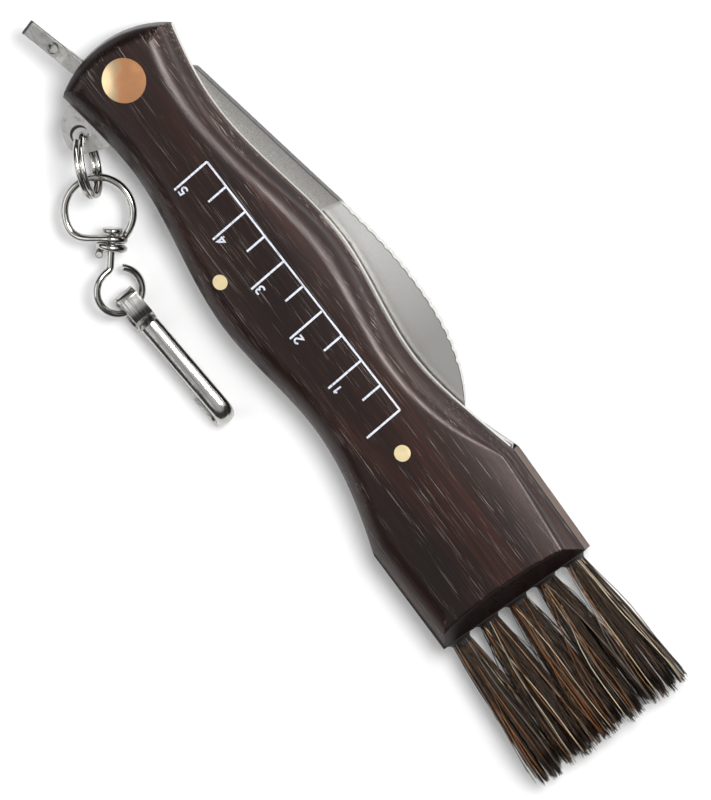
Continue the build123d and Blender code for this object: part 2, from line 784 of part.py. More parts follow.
def clip_frame():
    """Frame at the eye's wire: X along the clip, Y across its width, Z out of its back."""
    turn = math.radians(clip_turn)
    centre = eye_centre()
    x = centre[0] + eye_radius * math.cos(turn)
    y = centre[1] + eye_radius * math.sin(turn)
    return eye_frame() * Pos(x, y, 0) * Rot(Z=clip_turn) * Rot(Y=-clip_pitch)


def channel_section():
    """Cut through the clip's pressed channel, bulging away from the hook's inside."""
    outer = Ellipse(hook_width / 2, hook_bulge)
    inner = Ellipse(hook_width / 2 - hook_sheet, hook_bulge - hook_sheet)
    half = Rectangle(2 * hook_width, 2 * hook_width, align=(Align.CENTER, Align.MIN))
    return (outer - inner) & half


def make_clip_body():
    """Strap eye and pressed hook, one strip of sheet."""
    floor = -strap_below
    strap_height = strap_inner_height + 2 * strap_thickness
    strap_length = strap_inner_length + 2 * strap_thickness
    outer = RectangleRounded(strap_length, strap_height, strap_height / 3)
    inner = RectangleRounded(strap_inner_length, strap_inner_height, strap_height / 3 - strap_thickness)
    mid_a = strap_inner_length / 2 - strap_back
    mid_n = floor + strap_inner_height / 2
    band = Plane.XZ * (Pos(mid_a, mid_n) * (outer - inner))
    strap = extrude(band, strap_width / 2, both=True)
    tongue_end = gate_rivet_place + tongue_reach
    tongue = Box(tongue_end - mid_a, gate_width, strap_thickness, align=(Align.MIN, Align.CENTER, Align.MAX))
    tongue = Pos(mid_a, 0, floor) * tongue
    nose_top = hook_top + hook_rise
    radius = (nose_top + hook_floor) / 2
    start = (hook_start, 0, hook_top)
    turn_top = (hook_nose, 0, nose_top)
    turn_mid = (hook_nose + radius, 0, nose_top - radius)
    turn_low = (hook_nose, 0, -hook_floor)
    path = Wire([Line(start, turn_top), ThreePointArc(turn_top, turn_mid, turn_low),
                 Line(turn_low, (hook_nose - lip_length, 0, -hook_floor))])
    section = Plane(origin=start, x_dir=(0, 1, 0), z_dir=path % 0) * channel_section()
    hook = sweep(section, path=path, transition=Transition.RIGHT)
    hole = Pos(gate_rivet_place, 0, floor) * Cylinder(gate_rivet_radius, 4 * strap_thickness)
    return clip_frame() * (strap + tongue + hook - hole)


def gate_top():
    return -strap_below - strap_thickness - gate_play


def make_clip_gate():
    """Spring leaf that closes the hook, drawn shut."""
    start = gate_rivet_place - gate_back
    end = hook_nose - lip_length + gate_lap
    leaf = Box(end - start, gate_width, gate_sheet, align=(Align.MIN, Align.CENTER, Align.MAX))
    leaf = Pos(start, 0, gate_top()) * leaf
    hole = Pos(gate_rivet_place, 0, gate_top()) * Cylinder(gate_rivet_radius + gate_play, 4 * gate_sheet)
    return clip_frame() * (leaf - hole)


def make_clip_rivet():
    """Rivet that carries the leaf under the strap's tongue."""
    low = gate_top() - gate_sheet - gate_play
    shank = post((gate_rivet_place, 0), gate_rivet_radius, low, -strap_below)
    head = post((gate_rivet_place, 0), gate_rivet_head, low - gate_rivet_cap, low)
    return clip_frame() * (shank + head)


nodes = {
    "front_scale": make_front_scale(),
    "back_scale": make_back_scale(),
    "front_liner": make_front_liner(),
    "back_liner": make_back_liner(),
    "brush_block": make_brush_block(),
    "back_spring": make_back_spring(),
    "blade": make_blade(),
    "front_washer": make_washer(front_liner_z - washer_thickness),
    "back_washer": make_washer(slot_z),
    "pivot_rivet": make_pivot_rivet(),
    "pivot_cap": make_pivot_cap(),
    "spring_pin": make_pin(spring_pin_shares, spring_pin_radius),
    "end_pin": make_pin(end_pin_shares, end_pin_radius),
    "tweezer_front_leg": make_tweezer_leg(1),
    "tweezer_back_leg": make_tweezer_leg(-1),
    "tweezer_rivet": make_tweezer_rivet(),
    "split_ring": make_split_ring(),
    "swivel_loop": make_swivel_loop(),
    "swivel_eye": make_swivel_eye(),
    "clip_body": make_clip_body(),
    "clip_gate": make_clip_gate(),
    "clip_rivet": make_clip_rivet(),
}
for index in range(tuft_count):
    nodes[f"brush_tuft_{index + 1}"] = make_tuft(index)

os.makedirs("parts", exist_ok=True)
for name, shape in nodes.items():
    export_step(shape, f"parts/{name}.step")
    print(name, round(shape.volume, 2))
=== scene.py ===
# %% [markdown]
# A folding mushroom knife, dressed in Blender.
#
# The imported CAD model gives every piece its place. This file loads it, gives the metal pieces
# their finishes, and makes again what a mesh does better than a solid: the wooden scales with
# their soft ridges, the bent wires, the printed ruler and the bristles of the brush.

import math
import random

import bmesh
import bpy
import numpy as np
from mathutils import Matrix, Vector


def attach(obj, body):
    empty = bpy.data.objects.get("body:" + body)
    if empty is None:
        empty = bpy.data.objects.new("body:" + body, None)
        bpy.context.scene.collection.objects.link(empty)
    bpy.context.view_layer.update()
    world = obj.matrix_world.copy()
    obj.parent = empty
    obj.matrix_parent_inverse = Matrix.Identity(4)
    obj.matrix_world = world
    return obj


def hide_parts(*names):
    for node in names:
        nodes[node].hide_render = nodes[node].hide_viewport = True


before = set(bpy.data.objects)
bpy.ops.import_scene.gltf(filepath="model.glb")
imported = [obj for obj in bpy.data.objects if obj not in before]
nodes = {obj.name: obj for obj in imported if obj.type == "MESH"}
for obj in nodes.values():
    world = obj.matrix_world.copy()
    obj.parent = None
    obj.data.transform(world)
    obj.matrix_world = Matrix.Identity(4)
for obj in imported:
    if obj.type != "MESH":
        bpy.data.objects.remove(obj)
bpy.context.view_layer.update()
MM = 0.001

# %% [markdown]
# The photograph looks down on the knife, which lies across the frame. The camera stands about 15
# degrees towards the blade's side, and so far away that nothing converges. It could be turned by
# angles, but its right and up directions are easier to read off the picture: each millimetre
# towards the brush runs 0.6 to the right and 0.8 down.

# %% Camera
TILT = math.radians(15.0)
PIXELS_PER_MM = 6.27
FRAME_HEIGHT = 800
TARGET = Vector((62.9, -1.0, 13.6)) * MM
DISTANCE = 1.6
RUNS_RIGHT = 0.6
RUNS_DOWN = 0.8


def new_object(name, data):
    """Puts mesh, lamp or camera data into the scene."""
    made = bpy.data.objects.new(name, data)
    bpy.context.scene.collection.objects.link(made)
    return made


along = Vector((1, 0, 0))
across = Vector((0, math.cos(TILT), -math.sin(TILT)))
right = RUNS_RIGHT * along + RUNS_DOWN * across
up = -RUNS_DOWN * along + RUNS_RIGHT * across
towards = right.cross(up)

camera_data = bpy.data.cameras.new("camera")
camera = new_object("camera", camera_data)
turned = Matrix((right, up, towards)).transposed().to_4x4()
camera.matrix_world = Matrix.Translation(TARGET + DISTANCE * towards) @ turned
camera_data.sensor_fit = "VERTICAL"
camera_data.lens = camera_data.sensor_height * DISTANCE / (FRAME_HEIGHT / PIXELS_PER_MM * MM)
camera_data.clip_end = 10 * DISTANCE
bpy.context.scene.camera = camera
bpy.context.scene.view_settings.view_transform = "Standard"
print("lens in mm:", round(camera_data.lens))

# %% [markdown]
# Every finish needs two small helpers. A colour is picked as an sRGB hex code, and one function
# turns it into the linear numbers that a shader wants. Another adds a node with its settings, so
# a whole finish reads as a short list. There, a text is a hex colour, a node is linked from its
# first output in use, and the colours that a Mix node mixes are its inputs 6 and 7.


# %% Colour and nodes
def colour(code, share=1.0):
    """Linear RGBA from an sRGB hex code, darkened to a share of it, or from a grey level."""
    if not isinstance(code, str):
        return [code] * 3 + [1.0]
    parts = [int(code[k:k + 2], 16) / 255 for k in (1, 3, 5)]
    linear = [c / 12.92 if c <= 0.04045 else ((c + 0.055) / 1.055) ** 2.4 for c in parts]
    return [c * share for c in linear] + [1.0]


def add(tree, kind, inputs=None, stops=(), **settings):
    """One node with its settings, its inputs set or linked, and its colour stops."""
    node = tree.nodes.new("ShaderNode" + kind)
    for name, value in settings.items():
        setattr(node, name, value)
    for name, value in (inputs or {}).items():
        if isinstance(value, bpy.types.Node):
            value = next(socket for socket in value.outputs if socket.enabled)
        if isinstance(value, bpy.types.NodeSocket):
            tree.links.new(value, node.inputs[name])
        else:
            node.inputs[name].default_value = colour(value) if isinstance(value, str) else value
    for _ in stops[2:]:
        node.color_ramp.elements.new(0.5)
    for number, (place, value) in enumerate(stops):
        element = node.color_ramp.elements[number]
        element.position = place
        element.color = value if isinstance(value, list) else colour(value)
    return node


print("mid grey in linear light:", [round(c, 3) for c in colour("#808080")])

# %% [markdown]
# The photograph has a plain white ground with a soft shadow below and to the left of the knife.
# A curved backdrop would do, but seen from above a large flat sheet is enough. For rays from the
# camera, and for those that metal mirrors, a tenth of the sheet's own shading gives way to plain
# white, so the ground reads as white paper while the shadow stays.

# %% Floor
PLAIN_SHARE = 0.10
FLOOR_HALF = 4.0
FLOOR_HEIGHT = -0.05 * MM


def start_material(name):
    """An empty material with its tree."""
    made = bpy.data.materials.new(name)
    made.use_nodes = True
    made.node_tree.nodes.clear()
    return made, made.node_tree


def white_paper():
    """Matt paper: it spreads light evenly and has no gloss."""
    paper, tree = start_material("matt_white_paper")
    rays = add(tree, "LightPath").outputs
    seen = add(tree, "Math", {0: rays["Is Camera Ray"], 1: rays["Is Glossy Ray"]}, operation="MAXIMUM")
    seen = add(tree, "Math", {0: seen, 1: rays["Is Transmission Ray"]}, operation="MAXIMUM")
    share = add(tree, "Math", {0: seen, 1: PLAIN_SHARE}, operation="MULTIPLY")
    lit = add(tree, "BsdfDiffuse", {"Color": "#FFFFFF"})
    plain = add(tree, "Emission", {"Color": "#FFFFFF", "Strength": 1.0})
    both = add(tree, "MixShader", {0: share, 1: lit, 2: plain})
    add(tree, "OutputMaterial", {"Surface": both})
    return paper


floor_mesh = bpy.data.meshes.new("floor")
corners = [(x * FLOOR_HALF, y * FLOOR_HALF, FLOOR_HEIGHT) for x, y in ((-1, -1), (1, -1), (1, 1), (-1, 1))]
floor_mesh.from_pydata(corners, [], [(0, 1, 2, 3)])
floor_mesh.materials.append(white_paper())
floor = new_object("floor", floor_mesh)
print("floor in m:", 2 * FLOOR_HALF)

# %% [markdown]
# The key lamp stands on the blade's side, 64 degrees up, so the shadow stays close to each piece
# and falls to the other side, and the ridge of the bevel gets a bright line. A long low strip on
# the same side gives the bevel a broad sheen. Two dim wide lamps soften the shadow, and the flat
# metal mirrors the one on the other side. A glow of 1 looks as bright as white paper.


# %% Lamps
def lamp(name, place, size, glow, height=None):
    """An area lamp that aims at the knife: a disk, or a strip if it has a height."""
    data = bpy.data.lights.new(name, "AREA")
    data.shape = "RECTANGLE" if height else "DISK"
    data.size = size
    if height:
        data.size_y = height
    area = size * height if height else math.pi * size * size / 4
    data.energy = glow * math.pi * area
    thing = new_object(name, data)
    thing.location = place
    thing.rotation_euler = (TARGET - Vector(place)).to_track_quat("-Z", "Y").to_euler()
    print(name, "watts:", round(data.energy, 2))


lamp("key_lamp", (0.06, 0.275, 0.575), 0.21, 27.0)
lamp("soft_lamp", (0.10, 0.42, 0.50), 0.60, 0.8)
lamp("low_strip", (0.06, 0.84, 0.24), 1.20, 6.8, 0.20)
lamp("side_softbox", (-0.20, -0.40, 0.46), 0.50, 1.3)

# %% [markdown]
# Polished wire mirrors the whole room, so the room matters as much as the lamps. An image of a
# studio could be wrapped round the scene. A ramp over the height does as well: pale below the
# horizon, then dark to two thirds of the way up, for the wires' black lines, and grey overhead.

# %% Room
room = bpy.data.worlds.new("studio")
bpy.context.scene.world = room
room.use_nodes = True
sky = room.node_tree
sky.nodes.clear()
height = add(sky, "SeparateXYZ", {"Vector": add(sky, "TexCoord").outputs["Generated"]}).outputs["Z"]
bands = [(0.0, 0.9), (0.05, 0.9), (0.10, 0.05), (0.66, 0.05), (0.82, 0.5), (1.0, 0.5)]
air = add(sky, "Background", {"Color": add(sky, "ValToRGB", {"Fac": height}, bands), "Strength": 1.0})
add(sky, "OutputWorld", {"Surface": air})
print("bands in the room:", len(bands))

# %% [markdown]
# The scales are a very dark tropical hardwood of the wenge kind. Its growth layers lie nearly
# flat in the board, so the face shows broad bands, and the bevels, which cut through the layers,
# show close lines along the edge. A wave texture gives even stripes. Noise that is stretched
# along the grain and squeezed through the thickness does both, and wanders as wood does.


# %% Growth layers
def grain_space(tree, cells):
    """The part's own coordinates, with so many pattern cells to a millimetre along x, y and z."""
    place = add(tree, "TexCoord").outputs["Object"]
    return add(tree, "Mapping", {"Vector": place, "Scale": [count / MM for count in cells]})


def growth_layers(tree):
    """The wood's colour without its pores, and the fine lines in it."""
    # Layers 60 mm long, 10 mm wide and 1 mm thick
    layers = add(tree, "TexNoise", {"Vector": grain_space(tree, (0.016, 0.10, 0.95)), "Scale": 1.0,
                                    "Detail": 4.0, "Roughness": 0.62, "Distortion": 0.5})
    body = add(tree, "ValToRGB", {"Fac": layers}, [
        (0.32, "#080404"), (0.45, "#110807"), (0.55, "#1F0F0C"), (0.68, "#391C16")])
    # Warmer areas about 15 mm wide
    drift = add(tree, "TexNoise", {"Vector": grain_space(tree, (0.03, 0.07, 0.07)), "Scale": 1.0})
    warm = add(tree, "ValToRGB", {"Fac": drift}, [(0.40, 0.0), (0.62, 0.6)])
    body = add(tree, "Mix", {"Factor": warm, 6: body, 7: "#2B1711"}, data_type="RGBA")
    # Near-black lines 0.7 mm wide
    lines = add(tree, "TexNoise", {"Vector": grain_space(tree, (0.03, 1.5, 0.9)), "Scale": 1.0,
                                   "Detail": 4.0, "Roughness": 0.7})
    dark = add(tree, "ValToRGB", {"Fac": lines}, [(0.44, 0.0), (0.60, 0.75)])
    return add(tree, "Mix", {"Factor": dark, 6: body, 7: "#0A0504"}, data_type="RGBA"), lines


# %% [markdown]
# The open pores are fine grooves, a few millimetres long, paler than the wood and without gloss.
# They could be cut into the mesh, but a bump costs nothing and stays sharp. Real pores are finer
# than a pixel, so the wider set is drawn 0.11 mm wide and the finer one 0.07 mm. On the end grain
# they are rubbed full of oil and dust and hardly show.


# %% Open pores
def open_pores(tree):
    """How far a point lies in a pore, and 1 on the faces down to 0.1 on the ends."""
    patch = add(tree, "TexNoise", {"Vector": grain_space(tree, (0.05, 0.45, 0.45)), "Scale": 1.0})
    share = add(tree, "ValToRGB", {"Fac": patch}, [(0.45, 0.05), (0.64, 0.95)])
    wide = add(tree, "TexNoise", {"Vector": grain_space(tree, (0.14, 9.0, 2.5)), "Scale": 1.0,
                                  "Detail": 1.0})
    wide = add(tree, "ValToRGB", {"Fac": wide}, [(0.69, 0.0), (0.73, 1.0)])
    fine = add(tree, "TexNoise", {"Vector": grain_space(tree, (0.10, 15.0, 4.0)), "Scale": 1.0,
                                  "Detail": 1.0})
    fine = add(tree, "ValToRGB", {"Fac": fine}, [(0.66, 0.0), (0.72, 0.8)])
    pore = add(tree, "Math", {0: wide, 1: fine}, operation="MAXIMUM")
    facing = add(tree, "SeparateXYZ", {"Vector": add(tree, "TexCoord").outputs["Normal"]}).outputs["X"]
    facing = add(tree, "Math", {0: facing}, operation="ABSOLUTE")
    faces = add(tree, "MapRange", {"Value": facing, "From Min": 0.3, "From Max": 0.6,
                                   "To Min": 1.0, "To Max": 0.1})
    share = add(tree, "Math", {0: share, 1: faces}, operation="MULTIPLY")
    return add(tree, "Math", {0: pore, 1: share}, operation="MULTIPLY"), faces


# %% Oiled hardwood
def finish_material(made, **inputs):
    """Ends a material in its Principled shader, and prints how many nodes it took."""
    named = {name.replace("_", " "): value for name, value in inputs.items()}
    shader = add(made.node_tree, "BsdfPrincipled", named)
    add(made.node_tree, "OutputMaterial", {"Surface": shader})
    print(made.name, "nodes:", len(made.node_tree.nodes))
    return made


def dark_hardwood(name, gloss, pore_gloss, dust):
    """Oiled wood: a soft sheen that the pores break. Sanding dust lies on it as a pale veil."""
    timber, tree = start_material(name)
    body, lines = growth_layers(tree)
    pore, faces = open_pores(tree)
    dusty = add(tree, "Mix", {"Factor": dust, 6: body, 7: "#7A5F4C"}, data_type="RGBA")
    rubbed = add(tree, "Mix", {"Factor": faces, 6: "#0D0706", 7: dusty}, data_type="RGBA")
    skin = add(tree, "Mix", {"Factor": pore, 6: rubbed, 7: "#ADA097"}, data_type="RGBA")
    rough = add(tree, "ValToRGB", {"Fac": pore}, [(0.1, gloss), (0.8, pore_gloss)])
    uneven = add(tree, "ValToRGB", {"Fac": lines}, [(0.36, -0.06), (0.64, 0.10)])
    rough = add(tree, "Math", {0: rough, 1: uneven}, operation="ADD")
    dent = add(tree, "Bump", {"Height": pore, "Strength": 0.7, "Distance": 0.06 * MM}, invert=True)
    return finish_material(timber, Base_Color=skin, Roughness=rough, IOR=1.42,
                           Specular_Tint=colour("#FFEFEC"), Normal=dent)


wood = dark_hardwood("oiled_dark_hardwood", 0.27, 0.75, 0.0)
sanded_wood = dark_hardwood("sanded_dark_hardwood", 0.50, 0.80, 0.36)

# %% [markdown]
# The blade is stainless steel. Its root keeps a fine blasted grain, and the ground part is satin
# finished across. Two materials would need a cut in the mesh. Instead one material knows the
# slanting line where the grinding starts, from the part's own coordinates, and fades from one
# finish to the other within a millimetre. The scratches are drawn coarser than they are, as
# streaks 0.14 mm wide and 1.3 mm long.

# %% Root and flank of the blade
GRIND_TOP = (36.84, 16.96)      # where the ground part starts, at the spine
GRIND_LOW = (33.38, 3.7)        # and at the edge
SPINE_RISE = 0.16               # how steeply the spine climbs along the root


def ground_share(tree, x, y):
    """0 on the root and 1 on the ground part."""
    lean = (GRIND_TOP[0] - GRIND_LOW[0]) / (GRIND_TOP[1] - GRIND_LOW[1])
    line = add(tree, "Math", {0: y, 1: -lean, 2: x}, operation="MULTIPLY_ADD")
    foot = (GRIND_TOP[0] - lean * GRIND_TOP[1]) * MM
    return add(tree, "MapRange", {"Value": line, "From Min": foot - 0.5 * MM, "From Max": foot + 0.4 * MM})


def root_skin(tree, x, y, blast):
    """Blasted steel, with painted shade that darkens it towards the spine."""
    root = add(tree, "ValToRGB", {"Fac": blast}, [(0.30, "#96948F"), (0.60, "#B4B2AF"), (0.74, "#E4E3E1")])
    # Painted shade: the root turns darker towards the spine
    climb = add(tree, "Math", {0: x, 1: -SPINE_RISE, 2: y}, operation="MULTIPLY_ADD")
    climb = add(tree, "MapRange", {"Value": climb, "From Min": 6.5 * MM, "From Max": 11.0 * MM,
                                   "To Max": 0.75})
    return add(tree, "Mix", {"Factor": climb, 6: root, 7: "#6A6866"}, data_type="RGBA")


def flank_skin(tree, x, satin):
    """Satin steel, with a painted reflection that darkens it towards the tip."""
    flank = add(tree, "ValToRGB", {"Fac": satin}, [(0.25, "#DEDDDA"), (0.75, "#EDECEA")])
    # Painted reflection: the flank turns darker towards the tip
    shade = add(tree, "MapRange", {"Value": x, "From Min": 44 * MM, "From Max": 62 * MM})
    return add(tree, "Mix", {"Factor": shade, 6: flank, 7: "#B9B7B4"}, data_type="RGBA")


# %% [markdown]
# The walls of the spine and of its notches carry painted light where the blade is ground and
# painted shade on the root, and a dark line of painted shade runs where wall and flank meet. A
# bevel modifier could cut that line, but the notches are so short that it would shrink to
# nothing. The Bevel node finds such edges in the shading instead. It must not mark the start of
# the grinding, which is soft on the real blade.


# %% Walls and edges of the blade
def wall_share(tree):
    """1 on the walls of the spine and its notches, and 0 on the flanks."""
    facing = add(tree, "SeparateXYZ", {"Vector": add(tree, "TexCoord").outputs["Normal"]}).outputs["Z"]
    flat = add(tree, "Math", {0: facing}, operation="ABSOLUTE")
    return add(tree, "MapRange", {"Value": flat, "From Min": 0.3, "From Max": 0.6,
                                  "To Min": 1.0, "To Max": 0.0})


def painted_shade_line(tree, wall, ground):
    """1 on the line where wall and flank meet, which gets painted shade."""
    soft = add(tree, "Bevel", {"Radius": 0.45 * MM}, samples=6)
    soft = add(tree, "SeparateXYZ", {"Vector": soft}).outputs["Z"]
    soft = add(tree, "Math", {0: soft}, operation="ABSOLUTE")
    edge = add(tree, "ValToRGB", {"Fac": soft}, [(0.88, 1.0), (0.985, 0.0)])
    edge = add(tree, "Math", {0: edge, 1: wall}, operation="SUBTRACT", use_clamp=True)
    start = add(tree, "Math", {0: ground, 1: 0.5}, operation="SUBTRACT")
    start = add(tree, "Math", {0: start}, operation="ABSOLUTE")
    away = add(tree, "MapRange", {"Value": start, "From Min": 0.40, "From Max": 0.50})
    return add(tree, "Math", {0: edge, 1: away}, operation="MULTIPLY")


# %% Blade steel
def ground_blade_steel():
    """Blasted root, satin flanks, and painted light and shade on walls and edges, in one material."""
    steel, tree = start_material("satin_ground_stainless")
    place = add(tree, "SeparateXYZ", {"Vector": add(tree, "TexCoord").outputs["Object"]}).outputs
    # Grit blasting leaves dimples far finer than a pixel, so they are drawn 0.2 mm wide
    blast = add(tree, "TexNoise", {"Vector": grain_space(tree, (5.0, 5.0, 5.0)), "Scale": 1.0,
                                   "Detail": 3.0, "Roughness": 0.8})
    satin = add(tree, "TexNoise", {"Vector": grain_space(tree, (7.0, 0.8, 3.0)), "Scale": 1.0,
                                   "Detail": 3.0, "Roughness": 0.7})
    ground = ground_share(tree, place["X"], place["Y"])
    root = root_skin(tree, place["X"], place["Y"], blast)
    flank = flank_skin(tree, place["X"], satin)
    skin = add(tree, "Mix", {"Factor": ground, 6: root, 7: flank}, data_type="RGBA")
    wall = wall_share(tree)
    # Painted light on the walls of the ground part, painted shade on those of the root
    painted_wall_light_and_shade = add(tree, "ValToRGB", {"Fac": satin}, [(0.34, "#A9A7A4"), (0.62, "#EFEEEC")])
    painted_wall_light_and_shade = add(tree, "Mix", {"Factor": ground, 6: "#5C5A58", 7: painted_wall_light_and_shade}, data_type="RGBA")
    skin = add(tree, "Mix", {"Factor": wall, 6: skin, 7: painted_wall_light_and_shade}, data_type="RGBA")
    edge = painted_shade_line(tree, wall, ground)
    # Painted shade along the line where wall and flank meet
    skin = add(tree, "Mix", {"Factor": edge, 6: skin, 7: "#1B1A19"}, data_type="RGBA")
    rough = add(tree, "MapRange", {"Value": ground, "To Min": 0.42, "To Max": 0.33})
    dent = add(tree, "Bump", {"Height": blast, "Strength": 0.15, "Distance": 0.01 * MM})
    return finish_material(steel, Base_Color=skin, Metallic=1.0, Roughness=rough, Normal=dent)


blade_steel = ground_blade_steel()

# %% [markdown]
# Liners, slip spring and tweezers are sheet steel, brushed along their length. Anisotropic gloss
# would stretch each highlight, but so close up the single scratches show, so noise that is long
# along the sheet sets colour, gloss and a faint bump. Smudges of 2 mm dull it. Cut edges are matt
# and carry painted shade, except those towards the blade's side, which face the lamps and carry
# painted light.


# %% Brushed sheet steel
def brushed_steel(name, code, rough, spread, cells, painted_shade_code, painted_light_code=None):
    """Steel with scratches that run along the longer cells, which are counted to a millimetre."""
    steel, tree = start_material(name)
    # The scratches set colour, gloss and bump together
    scratch = add(tree, "TexNoise", {"Vector": grain_space(tree, cells), "Scale": 1.0,
                                     "Detail": 3.0, "Roughness": 0.7})
    gloss = add(tree, "ValToRGB", {"Fac": scratch}, [(0.3, rough - spread), (0.7, rough + spread)])
    skin = add(tree, "ValToRGB", {"Fac": scratch}, [(0.25, colour(code, 0.80)), (0.75, code)])
    smudge = add(tree, "TexNoise", {"Vector": grain_space(tree, (0.45, 0.6, 0.6)), "Scale": 1.0,
                                    "Detail": 5.0, "Roughness": 0.65})
    smudge = add(tree, "ValToRGB", {"Fac": smudge}, [(0.50, 0.0), (0.72, 0.6)])
    skin = add(tree, "Mix", {"Factor": smudge, 6: skin, 7: "#6E6C6A"}, data_type="RGBA")
    facing = add(tree, "SeparateXYZ", {"Vector": add(tree, "TexCoord").outputs["Normal"]}).outputs
    flat = add(tree, "Math", {0: facing["Z"]}, operation="ABSOLUTE")
    flat = add(tree, "ValToRGB", {"Fac": flat}, [(0.3, 0.0), (0.5, 1.0)])
    # Painted shade on the cut edges, and painted light on those that face the blade's side
    edge = add(tree, "ValToRGB", {"Fac": facing["Y"]}, [(0.3, painted_shade_code), (0.6, painted_light_code or painted_shade_code)])
    skin = add(tree, "Mix", {"Factor": flat, 6: edge, 7: skin}, data_type="RGBA")
    gloss = add(tree, "MapRange", {"Value": flat, "To Min": 0.85, "To Max": gloss})
    dent = add(tree, "Bump", {"Height": scratch, "Strength": 0.2, "Distance": 0.01 * MM})
    return finish_material(steel, Base_Color=skin, Metallic=1.0, Roughness=gloss, Normal=dent)


SHEET_GRAIN = (0.7, 6.0, 6.0)   # scratches 1.4 mm long and 0.17 mm wide, coarser than real ones
STRIP_GRAIN = (0.5, 5.0, 5.0)   # 2 mm long and 0.2 mm wide
FINE_GRAIN = (4.0, 4.0, 4.0)    # no direction left, grains of 0.25 mm
liner_steel = brushed_steel("brushed_stainless_sheet", "#C9C7C4", 0.36, 0.06, SHEET_GRAIN,
                            "#4E4C4A", "#D2D0CD")
tweezer_steel = brushed_steel("brushed_stainless_strip", "#B9B8B5", 0.33, 0.10, STRIP_GRAIN, "#454341")

# %% [markdown]
# Rings and gate are steel with bright nickel plate, a little yellower and softer than chrome. The
# pins are brass, filed flush. The pivot's head is copper coloured and polished, and a painted
# reflection makes one side of it paler. A plain metal colour would look like plastic here, so
# clouds a millimetre across vary gloss and tone, as plating baths and polishing do.


# %% Nickel, brass and copper
def plated(name, code, rough, cloud):
    """Bright metal with faint clouds in its gloss."""
    metal, tree = start_material(name)
    haze = add(tree, "TexNoise", {"Vector": grain_space(tree, (0.9, 0.9, 0.9)), "Scale": 1.0,
                                  "Detail": 4.0})
    gloss = add(tree, "ValToRGB", {"Fac": haze}, [(0.35, rough), (0.75, rough + cloud)])
    skin = add(tree, "ValToRGB", {"Fac": haze}, [(0.3, colour(code, 0.93)), (0.7, code)])
    return finish_material(metal, Base_Color=skin, Metallic=1.0, Roughness=gloss)


def copper_wash():
    """Copper wash on a brass head, with a paler side of painted reflection bounded by a wandering line."""
    metal, tree = start_material("polished_copper_wash")
    haze = add(tree, "TexNoise", {"Vector": grain_space(tree, (0.9, 0.9, 0.9)), "Scale": 1.0,
                                  "Detail": 4.0})
    gloss = add(tree, "ValToRGB", {"Fac": haze}, [(0.35, 0.18), (0.75, 0.24)])
    bent = add(tree, "TexNoise", {"Vector": grain_space(tree, (0.22, 0.22, 0.22)), "Scale": 1.0,
                                  "Detail": 1.0})
    place = add(tree, "TexCoord").outputs["Object"]
    side = add(tree, "VectorMath", {0: place, 1: (0.6 / MM, 0.8 / MM, 0.0)}, operation="DOT_PRODUCT")
    side = add(tree, "Math", {0: bent, 1: 4.0, 2: side}, operation="MULTIPLY_ADD")
    # Painted reflection: one side of the head turns paler
    painted_pale_side = add(tree, "MapRange", {"Value": side, "From Min": 0.0, "From Max": 1.5})
    skin = add(tree, "Mix", {"Factor": painted_pale_side, 6: "#E6CAA0", 7: "#F0AE7E"}, data_type="RGBA")
    return finish_material(metal, Base_Color=skin, Metallic=1.0, Roughness=gloss)


nickel = plated("bright_nickel_plate", "#C3C1BD", 0.07, 0.07)
brass = plated("filed_brass", "#FFEBBB", 0.38, 0.08)
copper = copper_wash()

# %% [markdown]
# The clip is pressed from strip and nickel plated, so brush lines show through the plate. Rolling
# left the strap slightly bowed, which makes the reflection run from dark to light along it. A
# bowed mesh would do it, but the solid is flat, so a very wide bump bends the reflection only. It
# grows with the square of the distance from the clip's bend, and leans a little to one side.

# %% Brushed nickel of the clip
CLIP_PLACE = (29.669, -24.265, 3.355)
CLIP_WAY = (0.998, 0.060, -0.009)
CLIP_SIDE = (-0.0589, 0.9120, -0.4059)
STRAP_LENGTH = 4.6
STRAP_START = sum(p * w for p, w in zip(CLIP_PLACE, CLIP_WAY)) - 0.9
BOW = -0.110
LEAN = 0.20


def brushed_nickel():
    """Nickel over a brushed and slightly bowed strap."""
    metal, tree = start_material("brushed_nickel_plate")
    place = add(tree, "TexCoord").outputs["Object"]
    way = [w / MM for w in CLIP_WAY]
    side = [w * LEAN / MM for w in CLIP_SIDE]
    reach = add(tree, "VectorMath", {0: place, 1: way}, operation="DOT_PRODUCT")
    reach = add(tree, "MapRange", {"Value": reach, "From Min": STRAP_START,
                                   "From Max": STRAP_START + STRAP_LENGTH, "To Max": STRAP_LENGTH})
    bow = add(tree, "Math", {0: reach, 1: 2.0}, operation="POWER")
    lean = add(tree, "VectorMath", {0: place, 1: side}, operation="DOT_PRODUCT")
    bow = add(tree, "Math", {0: bow, 1: BOW, 2: lean}, operation="MULTIPLY_ADD")
    # Brush lines 8 mm long and 0.2 mm wide, as wide as a pixel
    lines = add(tree, "TexNoise", {"Vector": grain_space(tree, (0.12, 5.0, 5.0)), "Scale": 1.0,
                                   "Detail": 3.0, "Roughness": 0.7})
    gloss = add(tree, "ValToRGB", {"Fac": lines}, [(0.35, 0.10), (0.65, 0.24)])
    skin = add(tree, "ValToRGB", {"Fac": lines}, [(0.35, "#A3A19E"), (0.6, "#CFCDCA")])
    bent = add(tree, "Bump", {"Height": bow, "Strength": 1.0, "Distance": MM})
    dent = add(tree, "Bump", {"Height": lines, "Strength": 0.35, "Distance": 0.02 * MM, "Normal": bent})
    return finish_material(metal, Base_Color=skin, Metallic=1.0, Roughness=gloss, Normal=dent)


clip_nickel = brushed_nickel()

# %% [markdown]
# Most metal pieces have the right shape already, so the CAD meshes stay and only get their
# finish. Stamped and cut metal also has a narrow broken edge, which catches the light as a thin
# line. Cutting it in CAD would take thousands of small faces, and a Bevel modifier costs nothing.
# The CAD mesh has split corners, so a Weld modifier joins them first.

